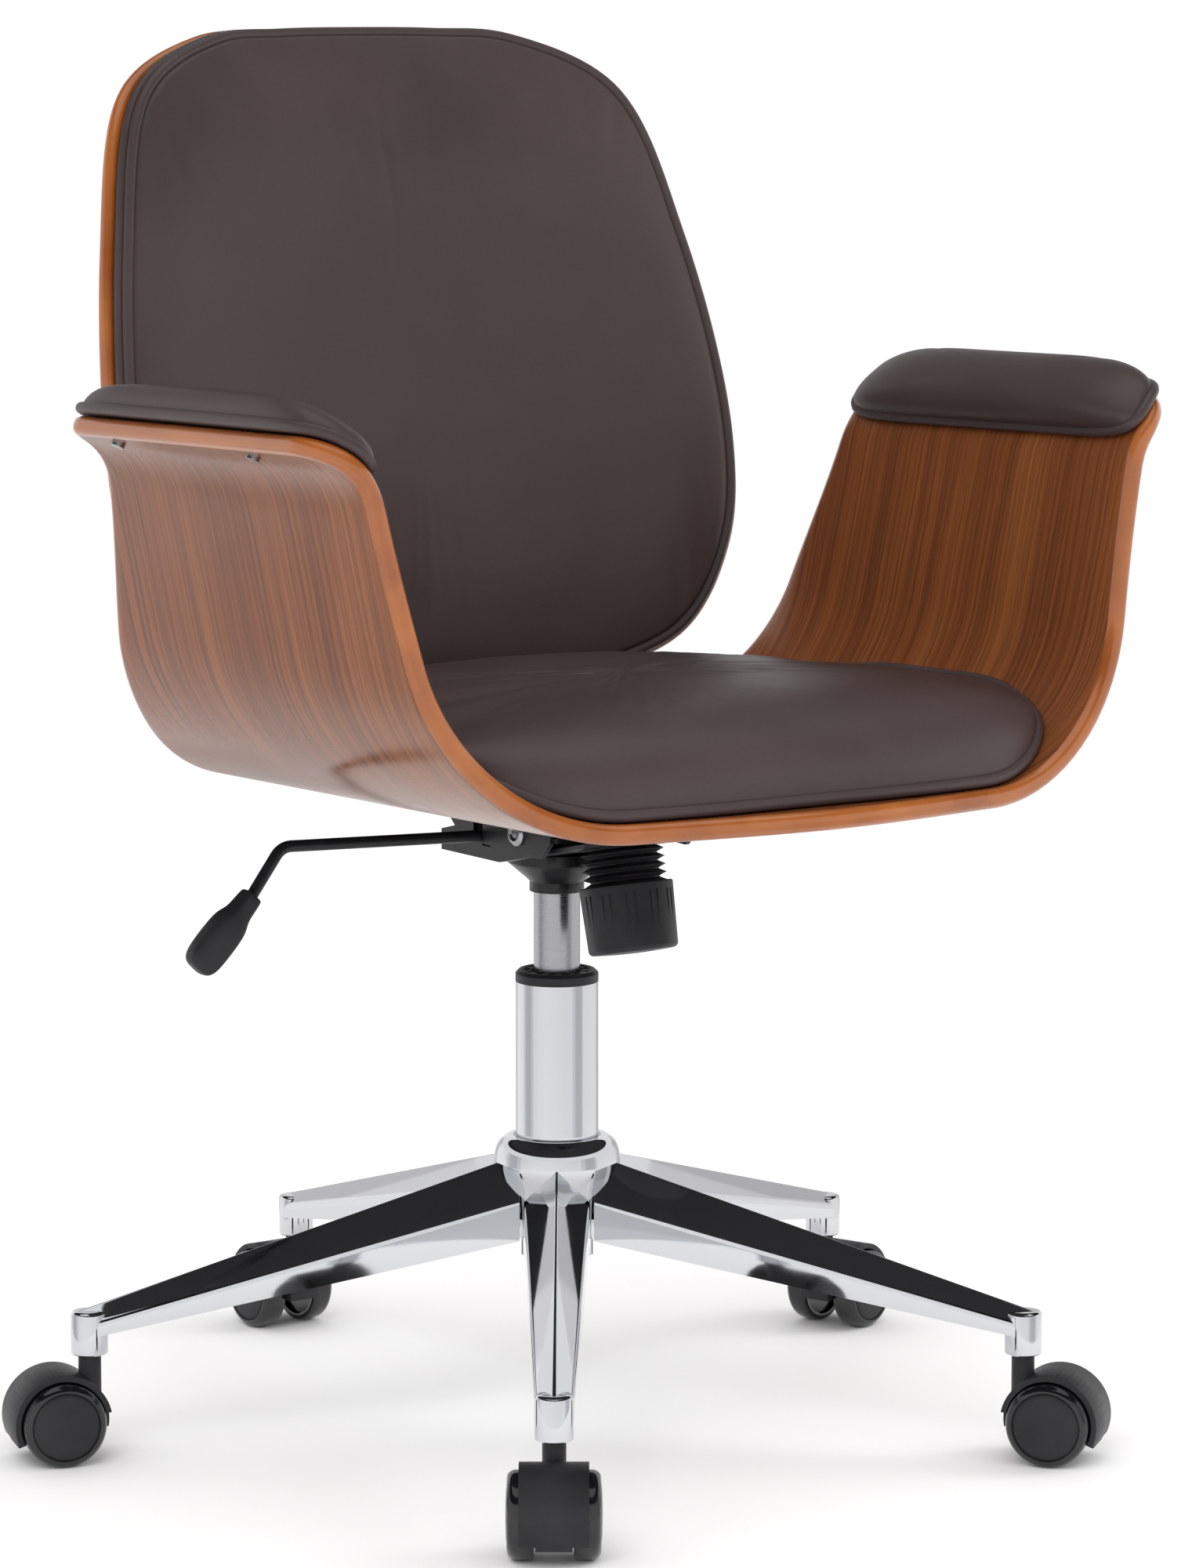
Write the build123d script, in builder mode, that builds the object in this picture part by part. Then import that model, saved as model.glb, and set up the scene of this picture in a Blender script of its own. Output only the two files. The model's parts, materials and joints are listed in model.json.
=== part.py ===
# Office chair: bent plywood seat and arms, padded wrap-around back, tilt mechanism,
# gas lift and a five-leg chrome base on twin-wheel casters.
# Frame: millimetres, +Z up, the sitter looks along -Y, origin on the floor under the column.
import os
from math import asin, cos, pi, radians, sin, sqrt, tan

from build123d import *

os.makedirs("parts", exist_ok=True)

# Fits and clearances
running_fit = 0.05
seat_fit = 0.03
skin_gap = 0.3

# Base and casters
leg_count = 5
leg_heading = 236.0
stem_circle_radius = 290.0
boss_diameter = 22.0
boss_bottom = 62.5
boss_height = 27.0
leg_wall = 2.0
leg_root_radius = 30.0
leg_root_top = 174.0
leg_root_bottom = 116.0
leg_root_half_width = 20.0
leg_tip_top = 90.0
leg_tip_bottom = 75.0
leg_tip_half_width = 11.0
leg_shoulder_share = 0.55
leg_flank_share = 0.86
hub_bottom = 117.0
hub_top = 176.0
hub_bottom_radius = 32.5
hub_shoulder_radius = 38.0
wheel_diameter = 50.0
wheel_width = 16.0
wheel_gap = 22.0
caster_trail = 20.0
axle_diameter = 6.0
stem_diameter = 11.0
neck_diameter = 13.5
hood_width = 39.0
hood_wall = 3.2
hood_wheel_gap = 0.9

# Gas lift
tube_diameter = 50.0
tube_wall = 1.8
tube_top = 270.0
tube_end_diameter = 44.0
tube_end_bottom = 103.0
taper_top = 178.0
collar_height = 7.0
collar_sleeve_length = 60.0
cylinder_diameter = 28.0
cylinder_wall = 2.0
cylinder_bottom = 150.0
cylinder_top = 348.0
rod_diameter = 10.0
piston_top = 285.0
piston_length = 14.0
cylinder_end_length = 14.0
bearing_height = 4.0
release_pin_diameter = 8.0

# Tilt mechanism
pivot_y = -38.0
pivot_z = 369.0
pivot_diameter = 10.0
tilt_limit = 12.0
pot_half_width = 47.0
pot_wall = 2.5
pot_floor = 347.0
pot_top = 382.0
pot_rear = 55.0
pot_front = -100.0
socket_bottom = 325.0
socket_diameter = 33.0
plate_thickness = 3.0
plate_side_gap = 3.0
plate_half_width = 76.0
plate_half_length = 75.0
flange_drop = 36.0
lug_top = 369.5
lug_y = -66.5
tension_lean = 12.3
tension_y = -68.5
tension_z = 360.0
sleeve_root_diameter = 41.0
sleeve_tip_diameter = 50.0
sleeve_bore = 34.0
sleeve_length = 36.0
ridge_pitch = 4.75
ridge_count = 5
knob_diameter = 55.6
knob_end_diameter = 53.2
knob_length = 41.0
knob_wall = 2.2
knob_start = 22.4
knob_groove_pairs = 12
knob_groove_shift = 5.0
knob_groove = 1.6
bolt_diameter = 8.0
ball_diameter = 16.0
spring_wire = 4.0
spring_mean_diameter = 26.0
spring_turns = 4.0
spring_end_gap = 0.4
spring_plate_start = 33.0
spring_plate_thickness = 4.0
spring_plate_gap = 1.5
lever_diameter = 7.0
lever_y = 5.0
lever_z = 361.4
lever_pivot_x = -25.0
slider_bottom = 354.0
lever_reach = 189.0
handle_length = 54.0
handle_width = 22.0
handle_thickness = 16.0
handle_tilt = 44.0
lever_bend_radius = 12.0
lever_bend_rise = 5.3
lever_end = (-212.0, 336.0)
strap_width = 70.0
strap_thickness = 6.0
strap_top = 560.0

# Seat shell
seat_slope = 1.0
seat_bottom = 391.0
ply = 11.5
flat_half_width = 124.6
bend_radius = 126.7
arm_lean = 12.4
lip_start = 187.0
lip_radius = 42.0
lip_angle = 74.0
lip_length = 5.3
lip_front_corner = 34.0
lip_rear_corner = 14.0
front_reach = 283.0
arm_front = 226.0
arm_rear = 58.0
rear_reach = 150.0
front_edge_points = ((100.0, 264.0), (200.0, 241.5))
rear_edge_points = ((250.0, 89.0), (200.0, 107.0), (110.0, 143.0))

# Back
back_recline = 12.0
back_foot_y = 140.0
back_foot_z = 422.0
wrap_radius = 528.0
back_height = 429.0
back_half_width = 223.0
back_ply = 9.5
back_pad_rear = 8.0
back_pad_crown = 18.0
back_pad_gap = 1.0
back_shell_inset = 3.0
back_pad_inset = 8.0
back_edge_points = (
    (111.0, 422.0), (176.0, 385.0), (208.0, 284.0), (223.0, 150.0),
    (213.0, 81.0), (181.0, 30.0), (120.0, 8.0),
)
back_blank_half_width = 260.0

# Pads
seat_pad_front = 266.0
seat_pad_rear = 120.0
seat_pad_half_width = 214.0
seat_pad_top = 64.0
seat_pad_crown = 4.0
seat_pad_draw_in = 6.0
seat_pad_side_drop = 2.0
seat_pad_front_sweep = 50.0
seat_pad_rear_sweep = 80.0
seat_pad_corner = 62.0
seat_pad_least_side = 3.0
arm_pad_thickness = 24.0
arm_pad_edge = 8.0
arm_pad_start_angle = 30.0

# Fasteners
screw_diameter = 6.0
arm_screw_diameter = 4.0
arm_screw_angle = 62.0
arm_screw_rows = (-140.0, 10.0)
seat_screw_x = 65.0
seat_screw_y = 60.0
bracket_bolt_x = 20.0
bracket_seat_bolt_rows = (100.0, 128.0)
bracket_back_bolt_rows = (40.0, 115.0)


def leg_plane(index):
    """Plane whose x runs out along one leg and whose z is up."""
    angle = radians(leg_heading + index * 360 / leg_count)
    return Plane(origin=(0, 0, 0), x_dir=(cos(angle), sin(angle), 0), z_dir=(0, 0, 1))


def across(plane, out, height=0.0):
    """Plane square to a leg, x along its tangent and y up."""
    origin = plane.from_local_coords((out, 0, height))
    return Plane(origin=origin, x_dir=plane.y_dir, z_dir=plane.x_dir)


def along(plane, out=0.0, height=0.0):
    """Upright plane along a leg, x outwards and y up."""
    origin = plane.from_local_coords((out, 0, height))
    return Plane(origin=origin, x_dir=plane.x_dir, z_dir=-plane.y_dir)


def cap_fall(rim, rise):
    """Fall of a round cap at half its rim's radius, so that the cap meets its axis square."""
    sphere = (rim ** 2 + rise ** 2) / (2 * rise)
    return sphere - sqrt(sphere ** 2 - (rim / 2) ** 2)


# Base hub: a pressed ring with a domed shoulder and a tapered bore for the column
def tube_radius(height):
    taper = (tube_diameter - tube_end_diameter) / 2 / (taper_top - hub_bottom)
    return tube_end_diameter / 2 + taper * (height - hub_bottom)


with BuildPart() as base_hub:
    with BuildSketch(Plane.XZ):
        with BuildLine():
            Polyline(
                (tube_radius(hub_top - 3) + seat_fit, hub_top - 3),
                (tube_radius(hub_bottom) + seat_fit, hub_bottom),
                (hub_bottom_radius, hub_bottom),
                (hub_bottom_radius, hub_bottom + 12),
            )
            Spline(
                (hub_bottom_radius, hub_bottom + 12),
                (hub_shoulder_radius, hub_top - 16),
                (tube_diameter / 2 + 4, hub_top),
                tangents=((0, 1), (-1, 0.25)),
            )
            Polyline(
                (tube_diameter / 2 + 4, hub_top),
                (tube_diameter / 2 + 1.5, hub_top),
                (tube_radius(hub_top - 3) + seat_fit, hub_top - 3),
            )
        make_face()
    revolve(axis=Axis.Z)
base_hub.part.label = "base_hub"
export_step(base_hub.part, "parts/base_hub.step")


# Legs: pressed sheet arms, arched on top, open below, each with a boss for its caster stem
def leg_section(plane, out, bottom, top, half_width, wall=0.0):
    shoulder = bottom + (top - bottom) * leg_shoulder_share
    half = half_width - wall
    brow = half * leg_flank_share
    with BuildSketch(across(plane, out)) as section:
        with BuildLine():
            Line((-half, bottom), (half, bottom))
            Line((half, bottom), (brow, shoulder))
            ThreePointArc((brow, shoulder), (0, top - wall), (-brow, shoulder))
            Line((-brow, shoulder), (-half, bottom))
        make_face()
    return section.sketch


for index in range(leg_count):
    plane = leg_plane(index)
    mouth = stem_circle_radius + boss_diameter / 2 - 4
    with BuildPart() as leg:
        loft(
            [
                leg_section(plane, leg_root_radius, leg_root_bottom, leg_root_top, leg_root_half_width),
                leg_section(plane, mouth, leg_tip_bottom, leg_tip_top, leg_tip_half_width),
            ],
            ruled=True,
        )
        loft(
            [
                leg_section(plane, leg_root_radius, leg_root_bottom - 1, leg_root_top,
                            leg_root_half_width, leg_wall),
                leg_section(plane, mouth - boss_diameter - 4, leg_tip_bottom - 1, leg_tip_top + 3,
                            leg_tip_half_width + 0.5, leg_wall),
            ],
            ruled=True,
            mode=Mode.SUBTRACT,
        )
        with BuildSketch(Plane.XY):
            Circle(hub_bottom_radius - 2)
        extrude(amount=hub_top, mode=Mode.SUBTRACT)
        with BuildSketch(along(plane, stem_circle_radius, boss_bottom)):
            with BuildLine():
                Line((0, 0), (boss_diameter / 2, 0))
                Line((boss_diameter / 2, 0), (boss_diameter / 2, boss_height - 5))
                ThreePointArc((boss_diameter / 2, boss_height - 5),
                              (boss_diameter * 0.36, boss_height - 1.4), (0, boss_height))
                Line((0, boss_height), (0, 0))
            make_face()
        stem_axis = Axis(plane.from_local_coords((stem_circle_radius, 0, 0)), (0, 0, 1))
        revolve(axis=stem_axis)
        with BuildSketch(Plane(origin=plane.from_local_coords((stem_circle_radius, 0, boss_bottom)),
                               z_dir=(0, 0, 1))):
            Circle(stem_diameter / 2 + running_fit)
        extrude(amount=boss_height - 4, mode=Mode.SUBTRACT)
        add(base_hub.part, mode=Mode.SUBTRACT)
    leg.part.label = f"leg_{index + 1}"
    export_step(leg.part, f"parts/leg_{index + 1}.step")


# Casters: a steel stem, a moulded hood on it, an axle through the hood and two wheels
wheel_radius = wheel_diameter / 2
hood_inner_radius = wheel_radius + hood_wheel_gap
hood_outer_radius = hood_inner_radius + hood_wall
web_half_width = wheel_gap / 2 - 0.7
neck_top = boss_bottom - 1.2
stem_top = boss_bottom + boss_height - 6
axle_length = wheel_gap + wheel_width

for index in range(leg_count):
    plane = leg_plane(index)
    number = index + 1
    axle_out = stem_circle_radius + caster_trail
    axle_plane = along(plane, axle_out, wheel_radius)
    stem_axis = Axis(plane.from_local_coords((stem_circle_radius, 0, 0)), (0, 0, 1))
    axle_axis = Axis(axle_plane.origin, axle_plane.z_dir)

    with BuildPart() as stem:
        with BuildSketch(along(plane, stem_circle_radius)):
            with BuildLine():
                Polyline(
                    (0, neck_top - 16),
                    (stem_diameter / 2 - 1, neck_top - 16),
                    (stem_diameter / 2 - 1, neck_top),
                    (neck_diameter / 2 - 0.6, neck_top),
                    (neck_diameter / 2 - 0.6, boss_bottom - 0.2),
                    (stem_diameter / 2, boss_bottom - 0.2),
                    (stem_diameter / 2, stem_top - 1.5),
                    (stem_diameter / 2 - 1.5, stem_top),
                    (0, stem_top),
                    close=True,
                )
            make_face()
        revolve(axis=stem_axis)
    stem.part.label = f"caster_{number}_stem"
    export_step(stem.part, f"parts/caster_{number}_stem.step")

    with BuildPart() as hood:
        # fender over the top and the trailing side of the wheels
        with BuildSketch(axle_plane):
            Circle(hood_outer_radius)
            Circle(hood_inner_radius, mode=Mode.SUBTRACT)
            with BuildLine():
                Polyline((0, 0), (-60, 12), (-60, -60), (60, -60), (60, -26), close=True)
            make_face(mode=Mode.SUBTRACT)
        extrude(amount=hood_width / 2, both=True)
        # web between the wheels, up to the neck that holds the stem
        with BuildSketch(axle_plane):
            Circle(hood_outer_radius - 0.01)
            with BuildLine():
                Polyline((0, -5), (-60, -5), (-60, -60), (60, -60), (60, -26), (12, -10), close=True)
            make_face(mode=Mode.SUBTRACT)
        extrude(amount=web_half_width, both=True)
        with BuildSketch(Plane(origin=plane.from_local_coords((stem_circle_radius, 0, wheel_radius)),
                               z_dir=(0, 0, 1))):
            Circle(neck_diameter / 2)
        extrude(amount=neck_top - wheel_radius)
        with BuildSketch(axle_plane):
            Circle(axle_diameter / 2 + seat_fit)
        extrude(amount=axle_length, both=True, mode=Mode.SUBTRACT)
        with BuildSketch(Plane(origin=plane.from_local_coords((stem_circle_radius, 0, neck_top)),
                               z_dir=(0, 0, -1))):
            Circle(stem_diameter / 2 - 1 + seat_fit)
        extrude(amount=16, mode=Mode.SUBTRACT)
    hood.part.label = f"caster_{number}_hood"
    export_step(hood.part, f"parts/caster_{number}_hood.step")

    with BuildPart() as axle:
        with BuildSketch(axle_plane):
            Circle(axle_diameter / 2)
        extrude(amount=axle_length / 2 - 3, both=True)
    axle.part.label = f"caster_{number}_axle"
    export_step(axle.part, f"parts/caster_{number}_axle.step")

    for side, side_name in ((1, "left"), (-1, "right")):
        inner = wheel_gap / 2
        outer = inner + wheel_width
        with BuildPart() as wheel:
            # half section: x along the axle, y is the radius
            with BuildSketch(Plane(origin=axle_plane.origin, x_dir=axle_plane.z_dir * side,
                                   z_dir=-axle_plane.x_dir * side)):
                with BuildLine():
                    Polyline(
                        (outer, 0),
                        (inner + wheel_width - 4, 0),
                        (inner + wheel_width - 4, axle_diameter / 2 + running_fit),
                        (inner, axle_diameter / 2 + running_fit),
                        (inner, axle_diameter / 2 + 4),
                        (inner + 3, axle_diameter / 2 + 5),
                        (inner + 3, wheel_radius - 5),
                        (inner, wheel_radius - 4),
                        (inner, wheel_radius - 1.2),
                        (inner + 1.2, wheel_radius),
                        (outer - 3.5, wheel_radius),
                    )
                    ThreePointArc((outer - 3.5, wheel_radius), (outer - 1.6, wheel_radius - 0.9),
                                  (outer - 1, wheel_radius - 3))
                    Polyline(
                        (outer - 1, wheel_radius - 3),
                        (outer - 1, wheel_radius - 5.4),
                        (outer - 1.9, wheel_radius - 5.8),
                        (outer - 1.9, wheel_radius - 6.4),
                        (outer - 1.1, wheel_radius - 6.8),
                    )
                    ThreePointArc((outer - 1.1, wheel_radius - 6.8),
                                  (outer - cap_fall(wheel_radius - 6.8, 1.1), (wheel_radius - 6.8) / 2),
                                  (outer, 0))
                make_face()
            revolve(axis=axle_axis)
        wheel.part.label = f"caster_{number}_wheel_{side_name}"
        export_step(wheel.part, f"parts/caster_{number}_wheel_{side_name}.step")


# Gas lift: outer tube, guide collar, thrust bearing, rod with piston, and the gas cylinder
cylinder_radius = cylinder_diameter / 2
tube_radius_top = tube_diameter / 2

with BuildPart() as column_tube:
    with BuildSketch(Plane.XZ):
        with BuildLine():
            Polyline(
                (rod_diameter / 2 + 1, tube_end_bottom),
                (tube_end_diameter / 2, tube_end_bottom),
                (tube_end_diameter / 2, hub_bottom),
                (tube_radius_top, taper_top),
                (tube_radius_top, tube_top),
                (tube_radius_top - tube_wall, tube_top),
                (tube_radius_top - tube_wall, taper_top),
                (tube_end_diameter / 2 - tube_wall, hub_bottom),
                (tube_end_diameter / 2 - tube_wall, tube_end_bottom + tube_wall),
                (rod_diameter / 2 + 1, tube_end_bottom + tube_wall),
                close=True,
            )
        make_face()
    revolve(axis=Axis.Z)
column_tube.part.label = "column_tube"
export_step(column_tube.part, "parts/column_tube.step")

with BuildPart() as guide_collar:
    with BuildSketch(Plane.XZ):
        with BuildLine():
            Polyline(
                (cylinder_radius + running_fit, tube_top - collar_sleeve_length),
                (tube_radius_top - tube_wall - seat_fit, tube_top - collar_sleeve_length),
                (tube_radius_top - tube_wall - seat_fit, tube_top),
                (tube_radius_top, tube_top),
                (tube_radius_top, tube_top + collar_height - 2),
                (tube_radius_top - 2, tube_top + collar_height),
                (tube_radius_top - 4, tube_top + collar_height),
                (tube_radius_top - 5, tube_top + collar_height - 2.5),
                (cylinder_radius + running_fit, tube_top + collar_height - 2.5),
                close=True,
            )
        make_face()
    revolve(axis=Axis.Z)
    # castellated inner ring around the cylinder
    with BuildSketch(Plane.XY.offset(tube_top + collar_height - 2.5)):
        with PolarLocations((cylinder_radius + tube_radius_top) / 2 - 2, 12):
            Rectangle(5, 4)
    extrude(amount=1.8)
guide_collar.part.label = "guide_collar"
export_step(guide_collar.part, "parts/guide_collar.step")

bearing_floor = tube_end_bottom + tube_wall
with BuildPart() as thrust_bearing:
    with BuildSketch(Plane.XY.offset(bearing_floor)):
        Circle(tube_end_diameter / 2 - tube_wall - 4)
        Circle(rod_diameter / 2 + 0.6, mode=Mode.SUBTRACT)
    extrude(amount=bearing_height)
thrust_bearing.part.label = "thrust_bearing"
export_step(thrust_bearing.part, "parts/thrust_bearing.step")

with BuildPart() as piston_rod:
    with BuildSketch(Plane.XZ):
        with BuildLine():
            Polyline(
                (0, tube_end_bottom - 4),
                (rod_diameter / 2 + 4, tube_end_bottom - 4),
                (rod_diameter / 2 + 4, tube_end_bottom - 0.2),
                (rod_diameter / 2, tube_end_bottom - 0.2),
                (rod_diameter / 2, bearing_floor + bearing_height + 0.2),
                (rod_diameter / 2 + 5, bearing_floor + bearing_height + 0.2),
                (rod_diameter / 2 + 5, bearing_floor + bearing_height + 1.7),
                (rod_diameter / 2, bearing_floor + bearing_height + 1.7),
                (rod_diameter / 2, piston_top - piston_length),
                (cylinder_radius - cylinder_wall - running_fit, piston_top - piston_length),
                (cylinder_radius - cylinder_wall - running_fit, piston_top),
                (0, piston_top),
                close=True,
            )
        make_face()
    revolve(axis=Axis.Z)
piston_rod.part.label = "piston_rod"
export_step(piston_rod.part, "parts/piston_rod.step")

with BuildPart() as gas_cylinder:
    with BuildSketch(Plane.XZ):
        with BuildLine():
            Polyline(
                (rod_diameter / 2 + running_fit, cylinder_bottom),
                (cylinder_radius, cylinder_bottom),
                (cylinder_radius, cylinder_top - 1),
                (cylinder_radius - 1, cylinder_top),
                (release_pin_diameter / 2 + running_fit, cylinder_top),
                (release_pin_diameter / 2 + running_fit, cylinder_top - cylinder_end_length),
                (cylinder_radius - cylinder_wall, cylinder_top - cylinder_end_length),
                (cylinder_radius - cylinder_wall, cylinder_bottom + cylinder_end_length),
                (rod_diameter / 2 + running_fit, cylinder_bottom + cylinder_end_length),
                close=True,
            )
        make_face()
    revolve(axis=Axis.Z)
gas_cylinder.part.label = "gas_cylinder"
export_step(gas_cylinder.part, "parts/gas_cylinder.step")

with BuildPart() as release_pin:
    with BuildSketch(Plane.XY.offset(cylinder_top - 12)):
        Circle(release_pin_diameter / 2)
    extrude(amount=12 + lever_z - lever_diameter / 2 - skin_gap - cylinder_top)
release_pin.part.label = "release_pin"
export_step(release_pin.part, "parts/release_pin.step")


# Planes of the seat: x to the sitter's left and right, y towards the back, z square to the seat
slope = radians(seat_slope)
seat_plane = Plane(origin=(0, 0, seat_bottom), x_dir=(1, 0, 0), z_dir=(0, sin(slope), cos(slope)))
profile_plane = Plane(origin=seat_plane.origin, x_dir=(1, 0, 0), z_dir=-seat_plane.y_dir)


def seat_point(x, y, z):
    """A point of the seat's own frame in the chair's frame."""
    return seat_plane.from_local_coords((x, y, z))


# Bent profile of the shell, from the middle of the seat to the arm's lip, at a depth into the ply
lean = radians(arm_lean)
lip = radians(lip_angle)
bend_centre = (flat_half_width, bend_radius)
arm_foot = (flat_half_width + bend_radius * cos(lean), bend_radius - bend_radius * sin(lean))
arm_head = (arm_foot[0] + (lip_start - arm_foot[1]) * tan(lean), lip_start)
lip_centre = (arm_head[0] + lip_radius * cos(lean), arm_head[1] - lip_radius * sin(lean))


def bend_point(angle, depth):
    reach = bend_radius - depth
    return (bend_centre[0] + reach * sin(angle), bend_centre[1] - reach * cos(angle))


def lip_point(angle, depth):
    reach = lip_radius + depth
    return (lip_centre[0] - reach * cos(angle), lip_centre[1] + reach * sin(angle))


def lip_end(depth, length):
    start = lip_point(lip, depth)
    return (start[0] + length * sin(lip), start[1] + length * cos(lip))


lip_edge = (lip_end(0, lip_length)[0] + lip_end(0, lip_length)[1]) / sqrt(2)


def shell_outline(inset=0.0, beyond=0.0):
    """Front and rear edge of one half, drawn on the slanted plane that sees seat and arm at once."""
    edge = lip_edge - inset + beyond
    corner = lip_front_corner - inset / 2
    rear_corner = lip_rear_corner - inset / 2
    top_front = arm_front - inset
    top_rear = arm_rear - inset
    front = Spline(
        (0, front_reach - inset),
        *[(place, reach - inset) for place, reach in front_edge_points],
        (edge - corner, top_front),
        tangents=((1, 0), (1, 0)),
    )
    front_arc = TangentArc(front @ 1, (edge, top_front - corner), tangent=front % 1)
    outer = Line(front_arc @ 1, (edge, -top_rear + rear_corner))
    rear_arc = TangentArc(outer @ 1, (edge - rear_corner, -top_rear), tangent=outer % 1)
    rear = Spline(
        rear_arc @ 1,
        *[(place, -reach + inset) for place, reach in rear_edge_points],
        (0, -rear_reach + inset),
        tangents=((-1, 0), (-1, 0)),
    )
    Line(rear @ 1, (0, front_reach - inset))


slant_plane = Plane(
    origin=seat_plane.origin,
    x_dir=seat_plane.x_dir + seat_plane.z_dir,
    z_dir=seat_plane.x_dir - seat_plane.z_dir,
)

# Places of the fasteners in the seat frame
seat_screws_at = [(x, y) for x in (-seat_screw_x, seat_screw_x) for y in (-seat_screw_y, seat_screw_y)]
bracket_seat_bolts_at = [(x, y) for x in (-bracket_bolt_x, bracket_bolt_x) for y in bracket_seat_bolt_rows]
bracket_back_bolts_at = [(x, h) for x in (-bracket_bolt_x, bracket_bolt_x) for h in bracket_back_bolt_rows]


def arm_screw_plane(side, row):
    """Plane under one lip where a pad screw enters, z into the ply."""
    spot = lip_point(radians(arm_screw_angle), 0)
    centre = seat_point(side * lip_centre[0], row, lip_centre[1])
    origin = seat_point(side * spot[0], row, spot[1])
    return Plane(origin=origin, x_dir=seat_plane.y_dir, z_dir=origin - centre)


with BuildPart() as seat_shell:
    with BuildSketch(profile_plane.offset(-rear_reach - 20)):
        with BuildLine():
            Line((0, 0), (flat_half_width, 0))
            ThreePointArc((flat_half_width, 0), bend_point((pi / 2 - lean) / 2, 0), arm_foot)
            Line(arm_foot, arm_head)
            ThreePointArc(arm_head, lip_point((lean + lip) / 2, 0), lip_point(lip, 0))
            Polyline(lip_point(lip, 0), lip_end(0, lip_length + 8), lip_end(ply, lip_length + 8),
                     lip_point(lip, ply))
            ThreePointArc(lip_point(lip, ply), lip_point((lean + lip) / 2, ply), lip_point(lean, ply))
            Line(lip_point(lean, ply), bend_point(pi / 2 - lean, ply))
            ThreePointArc(bend_point(pi / 2 - lean, ply), bend_point((pi / 2 - lean) / 2, ply),
                          (flat_half_width, ply))
            Polyline((flat_half_width, ply), (0, ply), (0, 0))
        make_face()
    extrude(amount=front_reach + rear_reach + 40)
    with BuildSketch(slant_plane):
        with BuildLine():
            shell_outline()
        make_face()
    extrude(amount=500, both=True, mode=Mode.INTERSECT)
    mirror(about=Plane.YZ)
    with BuildSketch(seat_plane):
        with Locations(*seat_screws_at, *bracket_seat_bolts_at):
            Circle(screw_diameter / 2 + seat_fit)
    extrude(amount=ply - 2, mode=Mode.SUBTRACT)
    for side in (1, -1):
        for row in arm_screw_rows:
            with BuildSketch(arm_screw_plane(side, row).offset(-1)):
                Circle(arm_screw_diameter / 2 + seat_fit)
            extrude(amount=ply - 1, mode=Mode.SUBTRACT)
seat_shell.part.label = "seat_shell"
export_step(seat_shell.part, "parts/seat_shell.step")


def trough(half_width):
    """Inner face of the shell out to this half width: middle and end of its bend, and the edge."""
    bend_end = bend_point(pi / 2 - lean, ply + skin_gap)
    if half_width > bend_end[0]:
        edge = (half_width, bend_end[1] + (half_width - bend_end[0]) / tan(lean))
        return bend_point((pi / 2 - lean) / 2, ply + skin_gap), bend_end, edge
    angle = asin((half_width - flat_half_width) / (bend_radius - ply - skin_gap))
    edge = bend_point(angle, ply + skin_gap)
    return bend_point(angle / 2, ply + skin_gap), edge, edge


# Seat pad: follows the bent shell below, crowned on top, sides drawn in to the piping line
with BuildPart() as seat_pad:
    mid_point, turn_point, edge_point = trough(seat_pad_half_width)
    brow_x = seat_pad_half_width - seat_pad_draw_in
    brow_z = max(seat_pad_top - seat_pad_side_drop, edge_point[1] + seat_pad_least_side)
    with BuildSketch(profile_plane.offset(-seat_pad_rear)):
        with BuildLine():
            Line((-flat_half_width, ply + skin_gap), (flat_half_width, ply + skin_gap))
            ThreePointArc((-brow_x, brow_z), (0, seat_pad_top + seat_pad_crown), (brow_x, brow_z))
            for side in (1, -1):
                ThreePointArc((side * flat_half_width, ply + skin_gap), (side * mid_point[0], mid_point[1]),
                              (side * turn_point[0], turn_point[1]))
                if edge_point != turn_point:
                    Line((side * turn_point[0], turn_point[1]), (side * edge_point[0], edge_point[1]))
                Line((side * edge_point[0], edge_point[1]), (side * brow_x, brow_z))
        make_face()
    extrude(amount=seat_pad_front + seat_pad_rear)
    plan_half = seat_pad_half_width + 2
    plan_front = -seat_pad_front + seat_pad_front_sweep
    plan_rear = seat_pad_rear - seat_pad_rear_sweep
    with BuildSketch(seat_plane) as seat_pad_plan:
        with BuildLine():
            ThreePointArc((-plan_half, plan_front), (0, -seat_pad_front), (plan_half, plan_front))
            Line((plan_half, plan_front), (plan_half, plan_rear))
            ThreePointArc((plan_half, plan_rear), (0, seat_pad_rear), (-plan_half, plan_rear))
            Line((-plan_half, plan_rear), (-plan_half, plan_front))
        make_face()
        fillet(seat_pad_plan.vertices(), seat_pad_corner)
    extrude(amount=150, mode=Mode.INTERSECT)
seat_pad.part.label = "seat_pad"
export_step(seat_pad.part, "parts/seat_pad.step")

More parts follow.
